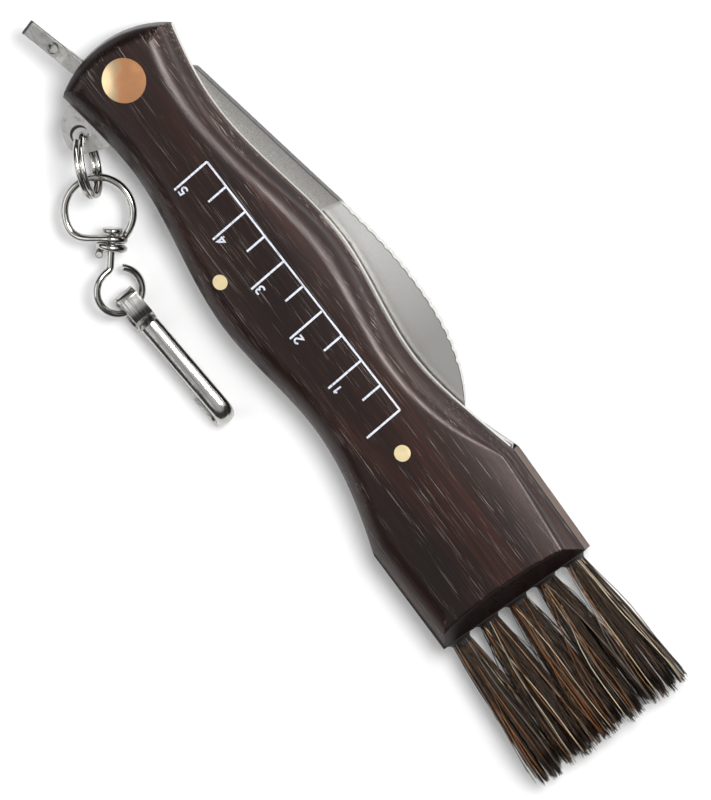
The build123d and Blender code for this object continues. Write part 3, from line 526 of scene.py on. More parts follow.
# %% Dress the CAD pieces
finishes = {
    sanded_wood: ("brush_block",),
    blade_steel: ("blade",),
    liner_steel: ("front_liner", "back_liner", "back_spring"),
    tweezer_steel: ("tweezer_front_leg", "tweezer_back_leg", "tweezer_rivet"),
    clip_nickel: ("clip_body",),
    nickel: ("clip_gate", "clip_rivet"),
    brass: ("front_washer", "back_washer", "spring_pin", "end_pin"),
    copper: ("pivot_rivet", "pivot_cap"),
}
for finish, names in finishes.items():
    for name in names:
        nodes[name].data.materials.clear()
        nodes[name].data.materials.append(finish)
    print(finish.name, "on", ", ".join(names))

# %% Broken edges
EDGE_ANGLE = math.radians(40)
edge_widths = {"clip_body": 0.09, "tweezer_front_leg": 0.10, "tweezer_back_leg": 0.10,
               "front_liner": 0.18, "blade": 0.20}
for name, width in edge_widths.items():
    weld = nodes[name].modifiers.new("weld", "WELD")
    weld.merge_threshold = 0.0005 * MM
    edge = nodes[name].modifiers.new("broken_edge", "BEVEL")
    edge.width = width * MM
    edge.segments = 2
    edge.limit_method = "ANGLE"
    edge.angle_limit = EDGE_ANGLE
    edge.harden_normals = True
print("broken edges in mm:", edge_widths)

# %% [markdown]
# Both long sides of the wood are flowing curves. They could be Bezier curves, but here the shape
# is also needed as numbers, to work out the height of the face. So each side is a cubic spline
# through a few points along it, in millimetres. The third number of a point is how wide the bevel
# is there, as a share of its usual width. The head is an arc that joins the two sides.

# %% Outline of the wood
TOP = 13.6
SCALE = 4.4             # thickness of one scale
SEAM_FRONT = TOP - SCALE
SHOULDER = 84.3         # from here to the end the sides are straight
WOOD_END = 104.1
END_SKEW = 0.7          # the end is cut a little slanting
HEAD_TIP = -7.1
SLOT_EDGE = [(-3.1, 10.83, 0.94), (3.96, 9.28, 0.98), (12.48, 8.55, 0.90), (25.96, 10.2, 0.88),
             (40.97, 12.15, 1.03), (52.01, 10.9, 1.02), (63.48, 9.8, 1.03), (76.04, 11.8, 1.10),
             (SHOULDER, 13.78, 0.82)]
SPRING_EDGE = [(-4.0, -10.8, 0.93), (3.0, -9.8, 1.0), (11.97, -8.94, 1.0), (25.04, -10.4, 1.0),
               (40.97, -12.5, 1.0), (51.0, -11.6, 1.0), (62.0, -10.45, 1.0), (73.0, -11.7, 1.0),
               (80.0, -13.65, 1.0), (SHOULDER, -15.15, 1.15)]
SLOT_END = (WOOD_END, 13.31)
SPRING_END = (WOOD_END - END_SKEW, -15.2)
END_BEVEL = 1.2
print("wood in mm:", round(WOOD_END - HEAD_TIP, 1), "by", round(SLOT_END[1] - SPRING_END[1], 1))


# %% Curves of the outline
def smooth_line(points, per_span=12):
    """Natural cubic spline through the points, spaced by their distances."""
    points = np.array(points, float)
    steps = np.hypot(*np.diff(points[:, :2], axis=0).T)
    slopes = np.diff(points, axis=0) / steps[:, None]
    system = np.eye(len(points))
    target = np.zeros_like(points)
    for k in range(1, len(points) - 1):
        system[k, k - 1:k + 2] = steps[k - 1], 2 * (steps[k - 1] + steps[k]), steps[k]
        target[k] = 6 * (slopes[k] - slopes[k - 1])
    bend = np.linalg.solve(system, target)
    line = []
    for k, step in enumerate(steps):
        for b in np.arange(per_span) / per_span:
            a = 1 - b
            cubic = ((a ** 3 - a) * bend[k] + (b ** 3 - b) * bend[k + 1]) * step * step / 6
            line.append(a * points[k] + b * points[k + 1] + cubic)
    return np.array(line + [points[-1]])


def circle_through(a, b, c):
    """Centre and radius of the circle through three points."""
    system = 2 * np.array([[b[0] - a[0], b[1] - a[1]], [c[0] - a[0], c[1] - a[1]]])
    squares = [p[0] ** 2 + p[1] ** 2 for p in (a, b, c)]
    centre = np.linalg.solve(system, [squares[1] - squares[0], squares[2] - squares[0]])
    return centre, math.hypot(centre[0] - a[0], centre[1] - a[1])


print("slot side in mm:", [round(v, 1) for v in smooth_line(SLOT_EDGE).max(axis=0)[:2]])

# %% [markdown]
# A scale is a slab with a crowned face and rounded sides: nearly upright at the liner, then
# leaning in over a bevel, then over a ridge into the face. Beveled boxes and subdivision lose
# that varying ridge. Here the face is a heightfield: each point is as high as the lowest of these
# slopes and the crown, and a smooth minimum rounds the places where two of them meet. The ridge
# is crisp at the brush end and soft on the spring's side.

# %% Slopes and ridges
BEVEL = 2.8
CROWN_RADIUS = 55.0
CROWN_MIDDLE = -0.855
UPRIGHT = 5.5                   # slope of a side where it leaves the liner
STEEP = (0.6, 1.9)              # then its height and slope a little further in
SLOT_LEAN = 1.2                 # slopes of the bevels
SPRING_LEAN = 1.35
HEAD_LEAN = 1.3
HEAD_BEVEL = 1.7
END_BACK = 3.2                  # how far the end leans back over the scale's thickness
SLOT_RIDGE = ([0, 30, 60, 76, 84], [2.4, 2.2, 1.9, 1.2, 0.5])   # softness along the handle
OTHER_RIDGES = (3.4, 1.6, 0.35)                                 # spring side, head, end
FAR = 20.0


def smallest(a, b, rounding):
    """Smooth minimum: rounds the ridge where two surfaces meet."""
    overlap = np.maximum(rounding - np.abs(a - b), 0) / rounding
    return np.minimum(a, b) - overlap * overlap * rounding / 4


def rounded_side(inward, inset, lean):
    """Height of a long side at a distance inward of the outline."""
    foot = smallest(UPRIGHT * inward, STEEP[0] + STEEP[1] * inward, 0.35)
    return smallest(foot, SCALE + lean * (inward - inset), 0.5)


print("height 1 mm inward of the spring's side:", round(float(rounded_side(1.0, BEVEL, SPRING_LEAN)), 2))

# %% Height of the face
class ScalePlan:
    """Outline of one scale, with the height of its face above the seam at any plan point."""

    def __init__(self, drop, crown):
        # The slot's side is set back by the drop, and by a quarter of it where it runs straight
        x, y, share = SLOT_EDGE[-1]
        slot = smooth_line([(x, y - drop, s) for x, y, s in SLOT_EDGE[:-1]] + [(x, y - drop / 4, share)])
        self.slot = np.vstack([slot, [[SLOT_END[0], SLOT_END[1] - drop / 4, END_BEVEL]]])
        self.spring = np.vstack([smooth_line(SPRING_EDGE), [[*SPRING_END, END_BEVEL]]])
        self.crown = crown
        high, low = self.slot[0], self.spring[0]
        self.centre, self.radius = circle_through(high, (HEAD_TIP, (high[1] + low[1]) / 2), low)

    def height(self, x, y):
        """Height of the face: the lowest of the four bevels and the crown."""
        slot_y, slot_share = (np.interp(x, self.slot[:, 0], self.slot[:, k]) for k in (1, 2))
        spring_y, spring_share = (np.interp(x, self.spring[:, 0], self.spring[:, k]) for k in (1, 2))
        reach = np.hypot(x - self.centre[0], y - self.centre[1])
        to_head = np.where(x < 0, self.radius - reach, FAR)
        to_end = SPRING_END[0] + END_SKEW * (y - SPRING_END[1]) / (SLOT_END[1] - SPRING_END[1]) - x
        bevels = np.stack([
            rounded_side(slot_y - y, BEVEL * slot_share, SLOT_LEAN),
            rounded_side(y - spring_y, BEVEL * spring_share, SPRING_LEAN),
            smallest(8.0 * to_head, SCALE + HEAD_LEAN * (to_head - HEAD_BEVEL), 0.5),
            SCALE * to_end / END_BACK,
        ])
        softness = [np.interp(x, *SLOT_RIDGE)] + [np.full_like(x, ridge) for ridge in OTHER_RIDGES]
        ridge = np.choose(bevels.argmin(axis=0), softness)
        face = np.full_like(x, SCALE)
        if self.crown:
            side = np.clip(y - CROWN_MIDDLE, -FAR, FAR)
            face = SCALE - CROWN_RADIUS + np.sqrt(CROWN_RADIUS ** 2 - side ** 2)
        return np.maximum(smallest(bevels.min(axis=0), face, ridge), 0)

    def patch(self, rows, columns):
        """Plan points of a grid that follows the outline on all four sides."""
        high = self.slot[0, :2], self.slot[-1, :2]
        low = self.spring[0, :2], self.spring[-1, :2]
        sides = []
        for line, ends in ((self.slot, high), (self.spring, low)):
            x = ends[0][0] + (ends[1][0] - ends[0][0]) * rows
            sides.append(np.stack([x, np.interp(x, line[:, 0], line[:, 1])], -1)[:, None])
        angles = [math.atan2(*(p - self.centre)[::-1]) % (2 * math.pi) for p in (low[0], high[0])]
        turn = angles[0] + (angles[1] - angles[0]) * columns
        head = (self.centre + self.radius * np.stack([np.cos(turn), np.sin(turn)], -1))[None]
        end = (low[1] + (high[1] - low[1]) * columns[:, None])[None]
        u, v = rows[:, None, None], columns[None, :, None]
        corners = (1 - u) * ((1 - v) * low[0] + v * high[0]) + u * ((1 - v) * low[1] + v * high[1])
        return (1 - v) * sides[1] + v * sides[0] + (1 - u) * head + u * end - corners


front_plan = ScalePlan(0.0, True)
back_plan = ScalePlan(1.1, False)
print("head's radius in mm:", round(front_plan.radius, 1), round(back_plan.radius, 1))

# %% [markdown]
# A grid over the plan turns the heights into a mesh. A square grid would leave steps along the
# curved sides, so this one follows the outline on all four sides. Its lines lie close together
# over the bevels, where the shape turns, and further apart on the face. A flat seam closes the
# mesh against the liner.


# %% Finish a mesh
def finish_mesh(name, mesh, materials, sharp=None):
    """Turns a bmesh into an object: faceted, or smooth except for edges over an angle."""
    bmesh.ops.recalc_face_normals(mesh, faces=mesh.faces)
    data = bpy.data.meshes.new(name)
    mesh.to_mesh(data)
    mesh.free()
    if sharp:
        data.shade_smooth()
        data.set_sharp_from_angle(angle=math.radians(sharp))
    for material in materials:
        data.materials.append(material)
    return new_object(name, data)


def tell(*pieces):
    """Prints how many faces each piece has."""
    for piece in pieces:
        print(piece.name, "faces:", len(piece.data.polygons))


# %% The two scales
FACE_LENGTH = 107.3
FACE_WIDTH = 25.0


def grid_shares(length, fine, fine_length, coarse):
    """Shares along a length that are close together near both ends."""
    near = np.arange(0, fine_length, fine)
    middle = np.linspace(fine_length, length - fine_length, int((length - 2 * fine_length) / coarse) + 1)
    return np.concatenate([near, middle, (length - near)[::-1]]) / length


def scale_mesh(name, plan, seam, up_side):
    """A closed mesh: the shaped face and the flat seam."""
    rows = grid_shares(FACE_LENGTH, fine=0.14, fine_length=4.2, coarse=0.5)
    columns = grid_shares(FACE_WIDTH, fine=0.12, fine_length=4.4, coarse=0.5)
    points = plan.patch(rows, columns)
    heights = seam + up_side * plan.height(points[..., 0], points[..., 1])
    last_u, last_v = len(rows) - 1, len(columns) - 1
    mesh = bmesh.new()
    face = [[mesh.verts.new((x * MM, y * MM, z * MM)) for (x, y), z in zip(*line)]
            for line in zip(points, heights)]
    for low, high in zip(face, face[1:]):
        for j in range(last_v):
            mesh.faces.new((low[j], high[j], high[j + 1], low[j + 1]))
    border = [(i, 0) for i in range(last_u + 1)] + [(last_u, j) for j in range(1, last_v + 1)]
    border += [(i, last_v) for i in range(last_u - 1, -1, -1)] + [(0, j) for j in range(last_v - 1, 0, -1)]
    mesh.faces.new([face[i][j] for i, j in reversed(border)])
    return finish_mesh(name, mesh, [wood])


front_wood = scale_mesh("front_scale_wood", front_plan, SEAM_FRONT, 1)
back_wood = scale_mesh("back_scale_wood", back_plan, SCALE, -1)
tell(front_wood, back_wood)

# %% [markdown]
# Nearly every other piece here is a closed skin over rings of points: a plate or a cutter has
# two rings, a wire hundreds. A curve object with a bevel would make wires too, but not chamfered
# ends, or a tuft whose hairs have five colours in one mesh. So one function skins rings.


# %% Skins over rings
def skin_rings(name, tubes, materials, sharp=40):
    """Closed skins, each over rings of points in millimetres with a flat cap at both ends."""
    mesh = bmesh.new()
    for tube in tubes:
        rings = [[mesh.verts.new(Vector(point) * MM) for point in ring] for ring in tube]
        for low, high in zip(rings, rings[1:]):
            for k in range(len(low)):
                mesh.faces.new((low[k - 1], low[k], high[k], high[k - 1]))
        mesh.faces.new(rings[0][::-1])
        mesh.faces.new(rings[-1])
    return finish_mesh(name, mesh, materials, sharp)


def plate(outline, low, high):
    """The two rings of a flat plate between two heights."""
    return [[(x, y, z) for x, y in outline] for z in (low, high)]


def circle(x, y, radius, sides=64):
    """Points of a circle."""
    turns = [2 * math.pi * k / sides for k in range(sides)]
    return [(x + radius * math.cos(t), y + radius * math.sin(t)) for t in turns]


# %% [markdown]
# The pins and the pivot's head sit in holes, and the tweezers in a channel, so the same holes are
# cut through the new wood. They could be left out where a pin hides them, but the scales are
# looked at from all sides. A Boolean modifier cuts exactly, and is applied at once.

# %% Places of the holes
CLEAR = 1.0             # how far a cutter stands out of the wood
HEAD_DEPTH = 1.5
CAP_DEPTH = 1.2
CHANNEL_DEPTH = 1.7
TWEEZER_END = (-16.045, -8.296, 10.025)
HEAD_SEAT = circle(0, 0, 3.68)
CAP_SEAT = circle(0, 0, 2.76)
PIVOT_BORE = circle(0, 0, 1.76)
SPRING_PIN = circle(34.9, -7.353, 1.25)
END_PIN = circle(74.184, -0.1, 1.35)


def bar(start, turn, length, width):
    """Outline of a straight bar that starts at a point."""
    way = np.array([math.cos(turn), math.sin(turn)]) * length
    side = np.array([-math.sin(turn), math.cos(turn)]) * width / 2
    return [np.array(start) + way * a + side * b for a, b in ((0, -1), (1, -1), (1, 1), (0, 1))]


CHANNEL = bar(TWEEZER_END[:2], math.radians(15.2), 52.5, 2.74)
print("channel's corners in mm:", [[round(float(v), 1) for v in corner] for corner in CHANNEL])


# %% Cut the wood
def cut(piece, cutters):
    """Takes each cutter out of the piece."""
    for cutter in cutters:
        tool = skin_rings("cutter", [cutter], [], None)
        step = piece.modifiers.new("cut", "BOOLEAN")
        step.operation = "DIFFERENCE"
        step.solver = "EXACT"
        step.object = tool
        bpy.context.view_layer.update()
        done = bpy.data.meshes.new_from_object(piece.evaluated_get(bpy.context.evaluated_depsgraph_get()))
        piece.modifiers.clear()
        piece.data = done
        bpy.data.objects.remove(tool)


cut(front_wood, [
    plate(HEAD_SEAT, TOP - HEAD_DEPTH, TOP + CLEAR),
    plate(PIVOT_BORE, SEAM_FRONT - CLEAR, TOP),
    plate(SPRING_PIN, SEAM_FRONT - CLEAR, TOP + CLEAR),
    plate(END_PIN, SEAM_FRONT - CLEAR, TOP + CLEAR),
    plate(CHANNEL, SEAM_FRONT - CLEAR / 2, SEAM_FRONT + CHANNEL_DEPTH),
])
cut(back_wood, [
    plate(CAP_SEAT, -CLEAR, CAP_DEPTH),
    plate(PIVOT_BORE, -CLEAR, SCALE + CLEAR),
    plate(SPRING_PIN, -CLEAR, SCALE + CLEAR),
    plate(END_PIN, -CLEAR, SCALE + CLEAR),
])
for piece, node in ((front_wood, "front_scale"), (back_wood, "back_scale")):
    piece.data.shade_smooth()
    piece.data.set_sharp_from_angle(angle=EDGE_ANGLE)
    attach(piece, "handle")
    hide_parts(node)
tell(front_wood, back_wood)

# %% [markdown]
# At the wide end the block is glued between the scales, and the glue shows as a dark seam along
# both sides. A line of colour in the wood would need exact coordinates in two materials. A thin
# plate of epoxy that stands a few hundredths of a millimetre proud is simpler. Epoxy is smooth,
# but dust makes it speckled and nearly matt.

# %% Glue lines
PROUD = 0.04
GLUE_START = SHOULDER + 0.2

glue_material, tree = start_material("dark_epoxy_glue")
speck = add(tree, "TexNoise", {"Vector": grain_space(tree, (0.8, 4.0, 4.0)), "Scale": 1.0})
dark = add(tree, "ValToRGB", {"Fac": speck}, [(0.4, "#0B0807"), (0.65, "#1F1612")])
finish_material(glue_material, Base_Color=dark, Roughness=0.6)
glue_lines = [("glue_line_front", SEAM_FRONT, 0.30, 0.0), ("glue_line_back", SCALE, 0.12, 0.25)]
for name, seam, thick, drop in glue_lines:
    outline = [(GLUE_START, SLOT_EDGE[-1][1] + PROUD - drop), (SLOT_END[0], SLOT_END[1] + PROUD - drop),
               (SPRING_END[0], SPRING_END[1] - PROUD), (GLUE_START, SPRING_EDGE[-1][1] - PROUD)]
    line = skin_rings(name, [plate(outline, seam - thick / 2, seam + thick / 2)], [glue_material])
    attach(line, "handle")
    tell(line)

# %% [markdown]
# The tweezers are one strip, folded over at its end. The fold is a half round that closes the gap
# between the legs, and carries painted shade. Behind it a half round tongue of metal was cut free
# and pressed down over the weld that holds the legs together, and a dark mark of painted shade
# lies round its cut. A picture of the mark could be laid on the leg, but three small skins keep
# their edges from any distance.

# %% Tweezers' end
LEG_TOP = 0.45                  # above the middle of the strip
SUNK = 0.1                      # how deep a skin reaches into the leg
FOLD_DEPTH = 0.50
FOLD_HALF = 1.25
TONGUE_START = 4.9
TONGUE_HALF = 0.72
TONGUE_REACH = 1.1
TONGUE_LIFT = 0.34              # where it was cut
TONGUE_FALL = 0.24              # for each millimetre towards its root
MARK_PLACE = 5.0
MARK_REACH = 1.15
MARK_RAISE = 0.03


def placed(origin, first, second, third):
    """A function from a place in a piece's own frame to the place on the knife."""
    return lambda a, b, c: Vector(origin) + Vector(first) * a + Vector(second) * b + Vector(third) * c


on_tweezers = placed(TWEEZER_END, (0.965016, 0.262189, 0), (-0.262189, 0.965016, 0), (0, 0, 1))

# %% Painted shade round the tongue
# Painted shade round the tongue's cut: a dull black crust, broken by grey specks of 0.3 mm
painted_cut_shade, tree = start_material("painted_cut_shade_crust")
crust_speck = add(tree, "TexNoise", {"Vector": grain_space(tree, (3.0, 3.0, 3.0)), "Scale": 1.0, "Detail": 3.0})
shade_tone = add(tree, "ValToRGB", {"Fac": crust_speck}, [(0.4, "#1E1C1A"), (0.62, "#8C8A86")])
finish_material(painted_cut_shade, Base_Color=shade_tone, Metallic=0.6, Roughness=0.5)

outline = []
for t in np.radians(np.linspace(0, 350, 36)):
    ragged = 0.9 if math.sin(t) > 0 else 0.55 + 0.25 * math.sin(7 * t)
    outline.append(on_tweezers(MARK_PLACE + MARK_REACH * math.sin(t) * ragged, math.cos(t), 0)[:2])
leg_height = TWEEZER_END[2] + LEG_TOP
crust = plate(outline, leg_height - SUNK, leg_height + MARK_RAISE)
mark = skin_rings("tongue_painted_shade", [crust], [painted_cut_shade])
tell(mark)

# %% Fold and tongue
# The fold gets painted shade: steel darker and duller than the flat strip
painted_fold_shade = brushed_steel("bent_strip_steel", "#6E6C6A", 0.42, 0.06, FINE_GRAIN, "#4A4846")
turns = np.radians(np.linspace(-90, 90, 17))
bend = [(-FOLD_DEPTH * math.cos(t), LEG_TOP * math.sin(t)) for t in turns]
sides = [[on_tweezers(a, b, c) for a, c in bend] for b in (-FOLD_HALF, FOLD_HALF)]
fold = skin_rings("tweezer_fold", [sides], [painted_fold_shade])

# The tongue was rubbed by the press and is the brightest spot; its cut sides carry painted shade
pressed_tab = brushed_steel("pressed_tab_steel", "#CBC9C6", 0.40, 0.08, (2.0, 6.0, 6.0), "#3A3836")
tab = [(TONGUE_START, -TONGUE_HALF), (TONGUE_START, TONGUE_HALF)]
tab += [(TONGUE_START + TONGUE_REACH * math.sin(t), TONGUE_HALF * math.cos(t))
        for t in np.radians(np.linspace(18, 162, 9))]
under = [on_tweezers(a, b, LEG_TOP - SUNK) for a, b in tab]
over = [on_tweezers(a, b, LEG_TOP + TONGUE_LIFT - TONGUE_FALL * (a - TONGUE_START)) for a, b in tab]
tongue = skin_rings("weld_tongue", [[under, over]], [pressed_tab])
for piece in (fold, tongue, mark):
    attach(piece, "tweezers")
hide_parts("tweezer_rivet")
tell(fold, tongue)

# %% [markdown]
# The hole in the liner's ear was countersunk by hand, a little more on one side, and that side
# mirrors something dark. A cone cut into the liner would change the CAD mesh, which stays as it
# is, so a crescent of painted shade, standing for that dark reflection, lies on its face: two arcs
# that swell apart in the middle.

# %% Painted shade in the ear's hole
EAR_HOLE = (2.44, -12.40)
CRESCENT_STEPS = 23
OUTER_ARC = (1.52, 0.14)        # radius at the tips, and how far it swells outward
INNER_ARC = (1.46, -0.36)       # and inward
RIM_SUNK = 0.05
RIM_RAISE = 0.03

painted_hole_shade = brushed_steel("shaded_edge_steel", "#3E3C3A", 0.45, 0.05, FINE_GRAIN, "#2A2827")
turns = np.radians(np.linspace(95, 275, CRESCENT_STEPS))
swell = [math.sin(math.pi * k / (CRESCENT_STEPS - 1)) for k in range(CRESCENT_STEPS)]
arcs = [[(EAR_HOLE[0] + (radius + grow * s) * math.cos(t), EAR_HOLE[1] + (radius + grow * s) * math.sin(t))
         for s, t in zip(swell, turns)] for radius, grow in (OUTER_ARC, INNER_ARC)]
crescent = arcs[0] + arcs[1][::-1]
thin_plate = plate(crescent, SEAM_FRONT - RIM_SUNK, SEAM_FRONT + RIM_RAISE)
countersink = skin_rings("ear_hole_painted_shade", [thin_plate], [painted_hole_shade])
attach(countersink, "handle")
tell(countersink)

# %% [markdown]
# The ruler is printed in white on the crowned face. Print like this is usually an image texture,
# but here each stroke is a thin raised strip that follows the wood, because paint laid on as real
# strips stays sharp from any distance. Where it crosses a pore, the print is thin and greyish.

# %% White print
PRINT_RAISE = 0.03


def white_print():
    """Pad printing ink: nearly matt, with gaps over the pores."""
    ink, tree = start_material("white_pad_print")
    # As long and wide as the pores: 2 mm by 0.14 mm
    gaps = add(tree, "TexNoise", {"Vector": grain_space(tree, (0.5, 7.0, 7.0)), "Scale": 1.0})
    tone = add(tree, "ValToRGB", {"Fac": gaps}, [(0.33, "#86858C"), (0.40, "#CDD2DF"), (0.7, "#E0E4EE")])
    return finish_material(ink, Base_Color=tone, Roughness=0.55)


def stroke(points, width, step=0.5):
    """Rings of a thin strip that follows the ruled face through the points."""
    line = [np.array(points[0], float)]
    for a, b in zip(points, points[1:]):
        a, b = np.array(a, float), np.array(b, float)
        pieces = max(1, math.ceil(np.linalg.norm(b - a) / step))
        line += [a + (b - a) * k / pieces for k in range(1, pieces + 1)]
    rings = []
    for k, point in enumerate(line):
        before = line[max(k - 1, 0)]
        after = line[min(k + 1, len(line) - 1)]
        way = (after - before) / np.linalg.norm(after - before)
        side = np.array([-way[1], way[0]])
        if 0 < k < len(line) - 1:
            # A corner is wider across, so that both its strokes keep their width
            bend = (point - before) / np.linalg.norm(point - before)
            side = side / max(abs(float(np.dot(side, [-bend[1], bend[0]]))), 0.5)
        ring = []
        for shift, raises in ((-0.5, (-PRINT_RAISE, PRINT_RAISE)), (0.5, (PRINT_RAISE, -PRINT_RAISE))):
            x, y = point + side * width * shift
            z = SEAM_FRONT + float(front_plan.height(np.array([x]), np.array([y]))[0])
            ring += [(x, y, z + raised) for raised in raises]
        rings.append(ring)
    return rings


# %% [markdown]
# The ruler has a base line, eleven marks 5 mm apart, and the numbers 1 to 5, which stand upright
# when the brush points left. A font could draw them, but the print is a single-stroke engraver's
# hand, so each number is a few arcs and lines in a box one unit high.


# %% Numbers
def arc(centre, radius, first, last, count=9):
    """Points of an arc, its angles in degrees."""
    turns = np.radians(np.linspace(first, last, count))
    return [(centre[0] + radius[0] * math.cos(t), centre[1] + radius[1] * math.sin(t)) for t in turns]


NUMBERS = {
    1: [[(0.33, 0.0), (0.33, 1.0)], [(0.33, 1.0), (0.06, 0.70)]],
    2: [arc((0.32, 0.71), (0.29, 0.27), 165, -30) + [(0.03, 0.03), (0.66, 0.03)]],
    3: [arc((0.30, 0.75), (0.27, 0.23), 150, -80), arc((0.30, 0.27), (0.31, 0.26), 85, -150)],
    4: [[(0.50, 0.0), (0.50, 1.0), (0.02, 0.30), (0.70, 0.30)]],
    5: [[(0.60, 0.98), (0.14, 0.98), (0.10, 0.56)] + arc((0.30, 0.31), (0.31, 0.28), 110, -150)],
}
print("strokes of the numbers:", {number: len(lines) for number, lines in NUMBERS.items()})

# %% Lay the ruler
NUMBER_MIDDLE = (0.33, 0.5)
NUMBER_HEIGHT = 1.5             # to the middle of its strokes
NUMBER_STROKE = 0.30
NUMBER_SHIFT = (0.96, 1.07)     # from its mark's end to the number's middle
RULE_START = np.array([18.3, 2.95])
RULE_END = np.array([68.4, 3.83])
LONG_MARK = 7.1
SHORT_MARK = 3.85
MARK_LEAN = 0.45
BASE_WIDTH = 0.31
MARK_WIDTH = 0.36

strokes = [stroke([RULE_START, RULE_END], BASE_WIDTH)]
for mark_number in range(11):
    foot = RULE_START + (RULE_END - RULE_START) * mark_number / 10
    reach = SHORT_MARK if mark_number % 2 else LONG_MARK
    tip = foot + np.array([MARK_LEAN * reach / LONG_MARK, -reach])
    strokes.append(stroke([foot, tip], MARK_WIDTH))
    if mark_number in (0, 2, 4, 6, 8):
        middle = tip + np.array(NUMBER_SHIFT)
        for line in NUMBERS[5 - mark_number // 2]:
            drawn = [middle + (np.array(NUMBER_MIDDLE) - point) * NUMBER_HEIGHT for point in line]
            strokes.append(stroke(drawn, NUMBER_STROKE, step=0.3))
ruler = skin_rings("ruler_print", strokes, [white_print()], None)
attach(ruler, "handle")
tell(ruler)

# %% [markdown]
# The chain is three bent wires: a split ring, a loop whose ends are wound round a shank, and that
# shank, which ends in an open eye. A wire is a circle swept along a smooth path. The circle's
# frame is carried from point to point without twist. The ends are a little chamfered, and bright
# where the cutter went through the plate.


# %% Sweep a wire
def smooth_path(points, per_span=8):
    """Catmull-Rom curve through points in space."""
    ends = [2 * points[0] - points[1]] + points + [2 * points[-1] - points[-2]]
    path = []
    for k in range(1, len(ends) - 2):
        a, b, c, d = ends[k - 1:k + 3]
        for t in (step / per_span for step in range(per_span)):
            path.append(0.5 * (2 * b + (c - a) * t + (2 * a - 5 * b + 4 * c - d) * t * t
                               + (3 * b - a - 3 * c + d) * t ** 3))
    return path + [points[-1]]


def wire_mesh(name, path, radius, sides=24):
    """A closed round wire along the path, in millimetres."""
    chamfer = radius * 0.2
    stations = [(path[0], radius - chamfer)]
    stations.append((path[0] + (path[1] - path[0]).normalized() * chamfer, radius))
    stations += [(point, radius) for point in path[1:-1]]
    stations.append((path[-1] + (path[-2] - path[-1]).normalized() * chamfer, radius))
    stations.append((path[-1], radius - chamfer))
    way = (path[1] - path[0]).normalized()
    side = way.orthogonal().normalized()
    rings = []
    for k, (point, size) in enumerate(stations):
        before = stations[max(k - 1, 0)][0]
        after = stations[min(k + 1, len(stations) - 1)][0]
        new_way = (after - before).normalized()
        side = way.rotation_difference(new_way) @ side
        way = new_way
        other = way.cross(side)
        rings.append([point + side * a + other * b for a, b in circle(0, 0, size, sides)])
    made = skin_rings(name, [rings], [nickel, cut_metal])
    for cap in (-2, -1):
        made.data.polygons[len(made.data.polygons) + cap].material_index = 1
    return made


# Freshly cut steel is rough and scatters the light, so it looks nearly white
cut_metal = brushed_steel("bright_cut_steel", "#F4F3F1", 0.58, 0.06, (2.0, 6.0, 6.0), "#55534F")

# %% [markdown]
# A split ring is wire wound in nearly two turns and pressed flat, so that the turns touch. A
# helix would lie open. The real one steps from one turn to the other over a sixth of a turn, so
# the path does too: flat turns with one eased step between them.

# %% Split ring
RING_WIRE = 0.42
RING_RADIUS = 5.1
RING_PITCH = 0.86
RING_START = 150                # degrees
RING_STEP = 60                  # how far the change of turn reaches
on_ring = placed((7.008, -14.623, 8.123), (0.899, -0.438, 0), (0, 0, 1), (-0.438, -0.899, 0))

ring_path = []
for turn in range(-300, 362, 2):
    share = min(max(turn / RING_STEP, 0), 1)
    side = (share * share * (3 - 2 * share) - 0.5) * RING_PITCH
    angle = math.radians(RING_START + turn)
    ring_path.append(on_ring(RING_RADIUS * math.cos(angle), RING_RADIUS * math.sin(angle), side))
ring = wire_mesh("split_ring_wire", ring_path, RING_WIRE)
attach(ring, "split_ring")
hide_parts("split_ring")
tell(ring)

# %% [markdown]
# The loop starts as a hook beside the shank's head, runs round the open loop, comes back and is
# wound nearly twice round the shank. No single formula gives that, so the path is a smooth
# curve through points: a few given one by one, an arc for the loop, and a helix for the coil.

# %% Swivel loop
SWIVEL_PLACE = (17.871, -18.769, 5.6)
SHANK_WAY = Vector((0.7547, -0.6561, 0))
SHANK_SIDE = Vector((0.6561, 0.7547, 0))
UPWARD = Vector((0, 0, 1))
LOOP_WIRE = 0.62
LOOP_RADIUS = 5.65
LOOP_CENTRE = (-3.1, -2.37)
COIL_RADIUS = 2.0
COIL_PITCH = 1.4
COIL_START = 0.8
on_swivel = placed(SWIVEL_PLACE, SHANK_WAY, SHANK_SIDE, UPWARD)

loop_points = [(0.62, 0.9, -1.5), (0.6, 1.7, -1.0), (0.28, 2.24, -0.3)]
for t in np.radians(range(66, 288, 13)):
    a, b = LOOP_CENTRE
    loop_points.append((a + LOOP_RADIUS * math.cos(t), b + LOOP_RADIUS * math.sin(t), 0))
loop_points += [(-0.30, -7.30, 0.0), (0.68, -6.5, 0.0), (1.25, -5.2, 0.15), (1.25, -3.6, 0.6),
                (1.0, -1.8, 1.35)]
for t in np.radians(range(0, 675, 45)):
    climb = COIL_START + COIL_PITCH * t / (2 * math.pi)
    loop_points.append((climb, COIL_RADIUS * math.sin(t), COIL_RADIUS * math.cos(t)))
loop_points += [(3.55, -1.9, 0.35), (3.7, -1.8, 0.95)]
loop = wire_mesh("swivel_loop_wire", smooth_path([on_swivel(*point) for point in loop_points]), LOOP_WIRE)
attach(loop, "swivel_loop")
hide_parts("swivel_loop")
tell(loop)

# %% [markdown]
# The shank turns inside that coil. A pressed head keeps it in: a round plate, domed and rolled at
# its rim. At the other end the shank bends aside in a tight arc and runs round an open eye, whose
# plane is rolled about the shank. Arcs that meet without a kink are worked out from their radii.

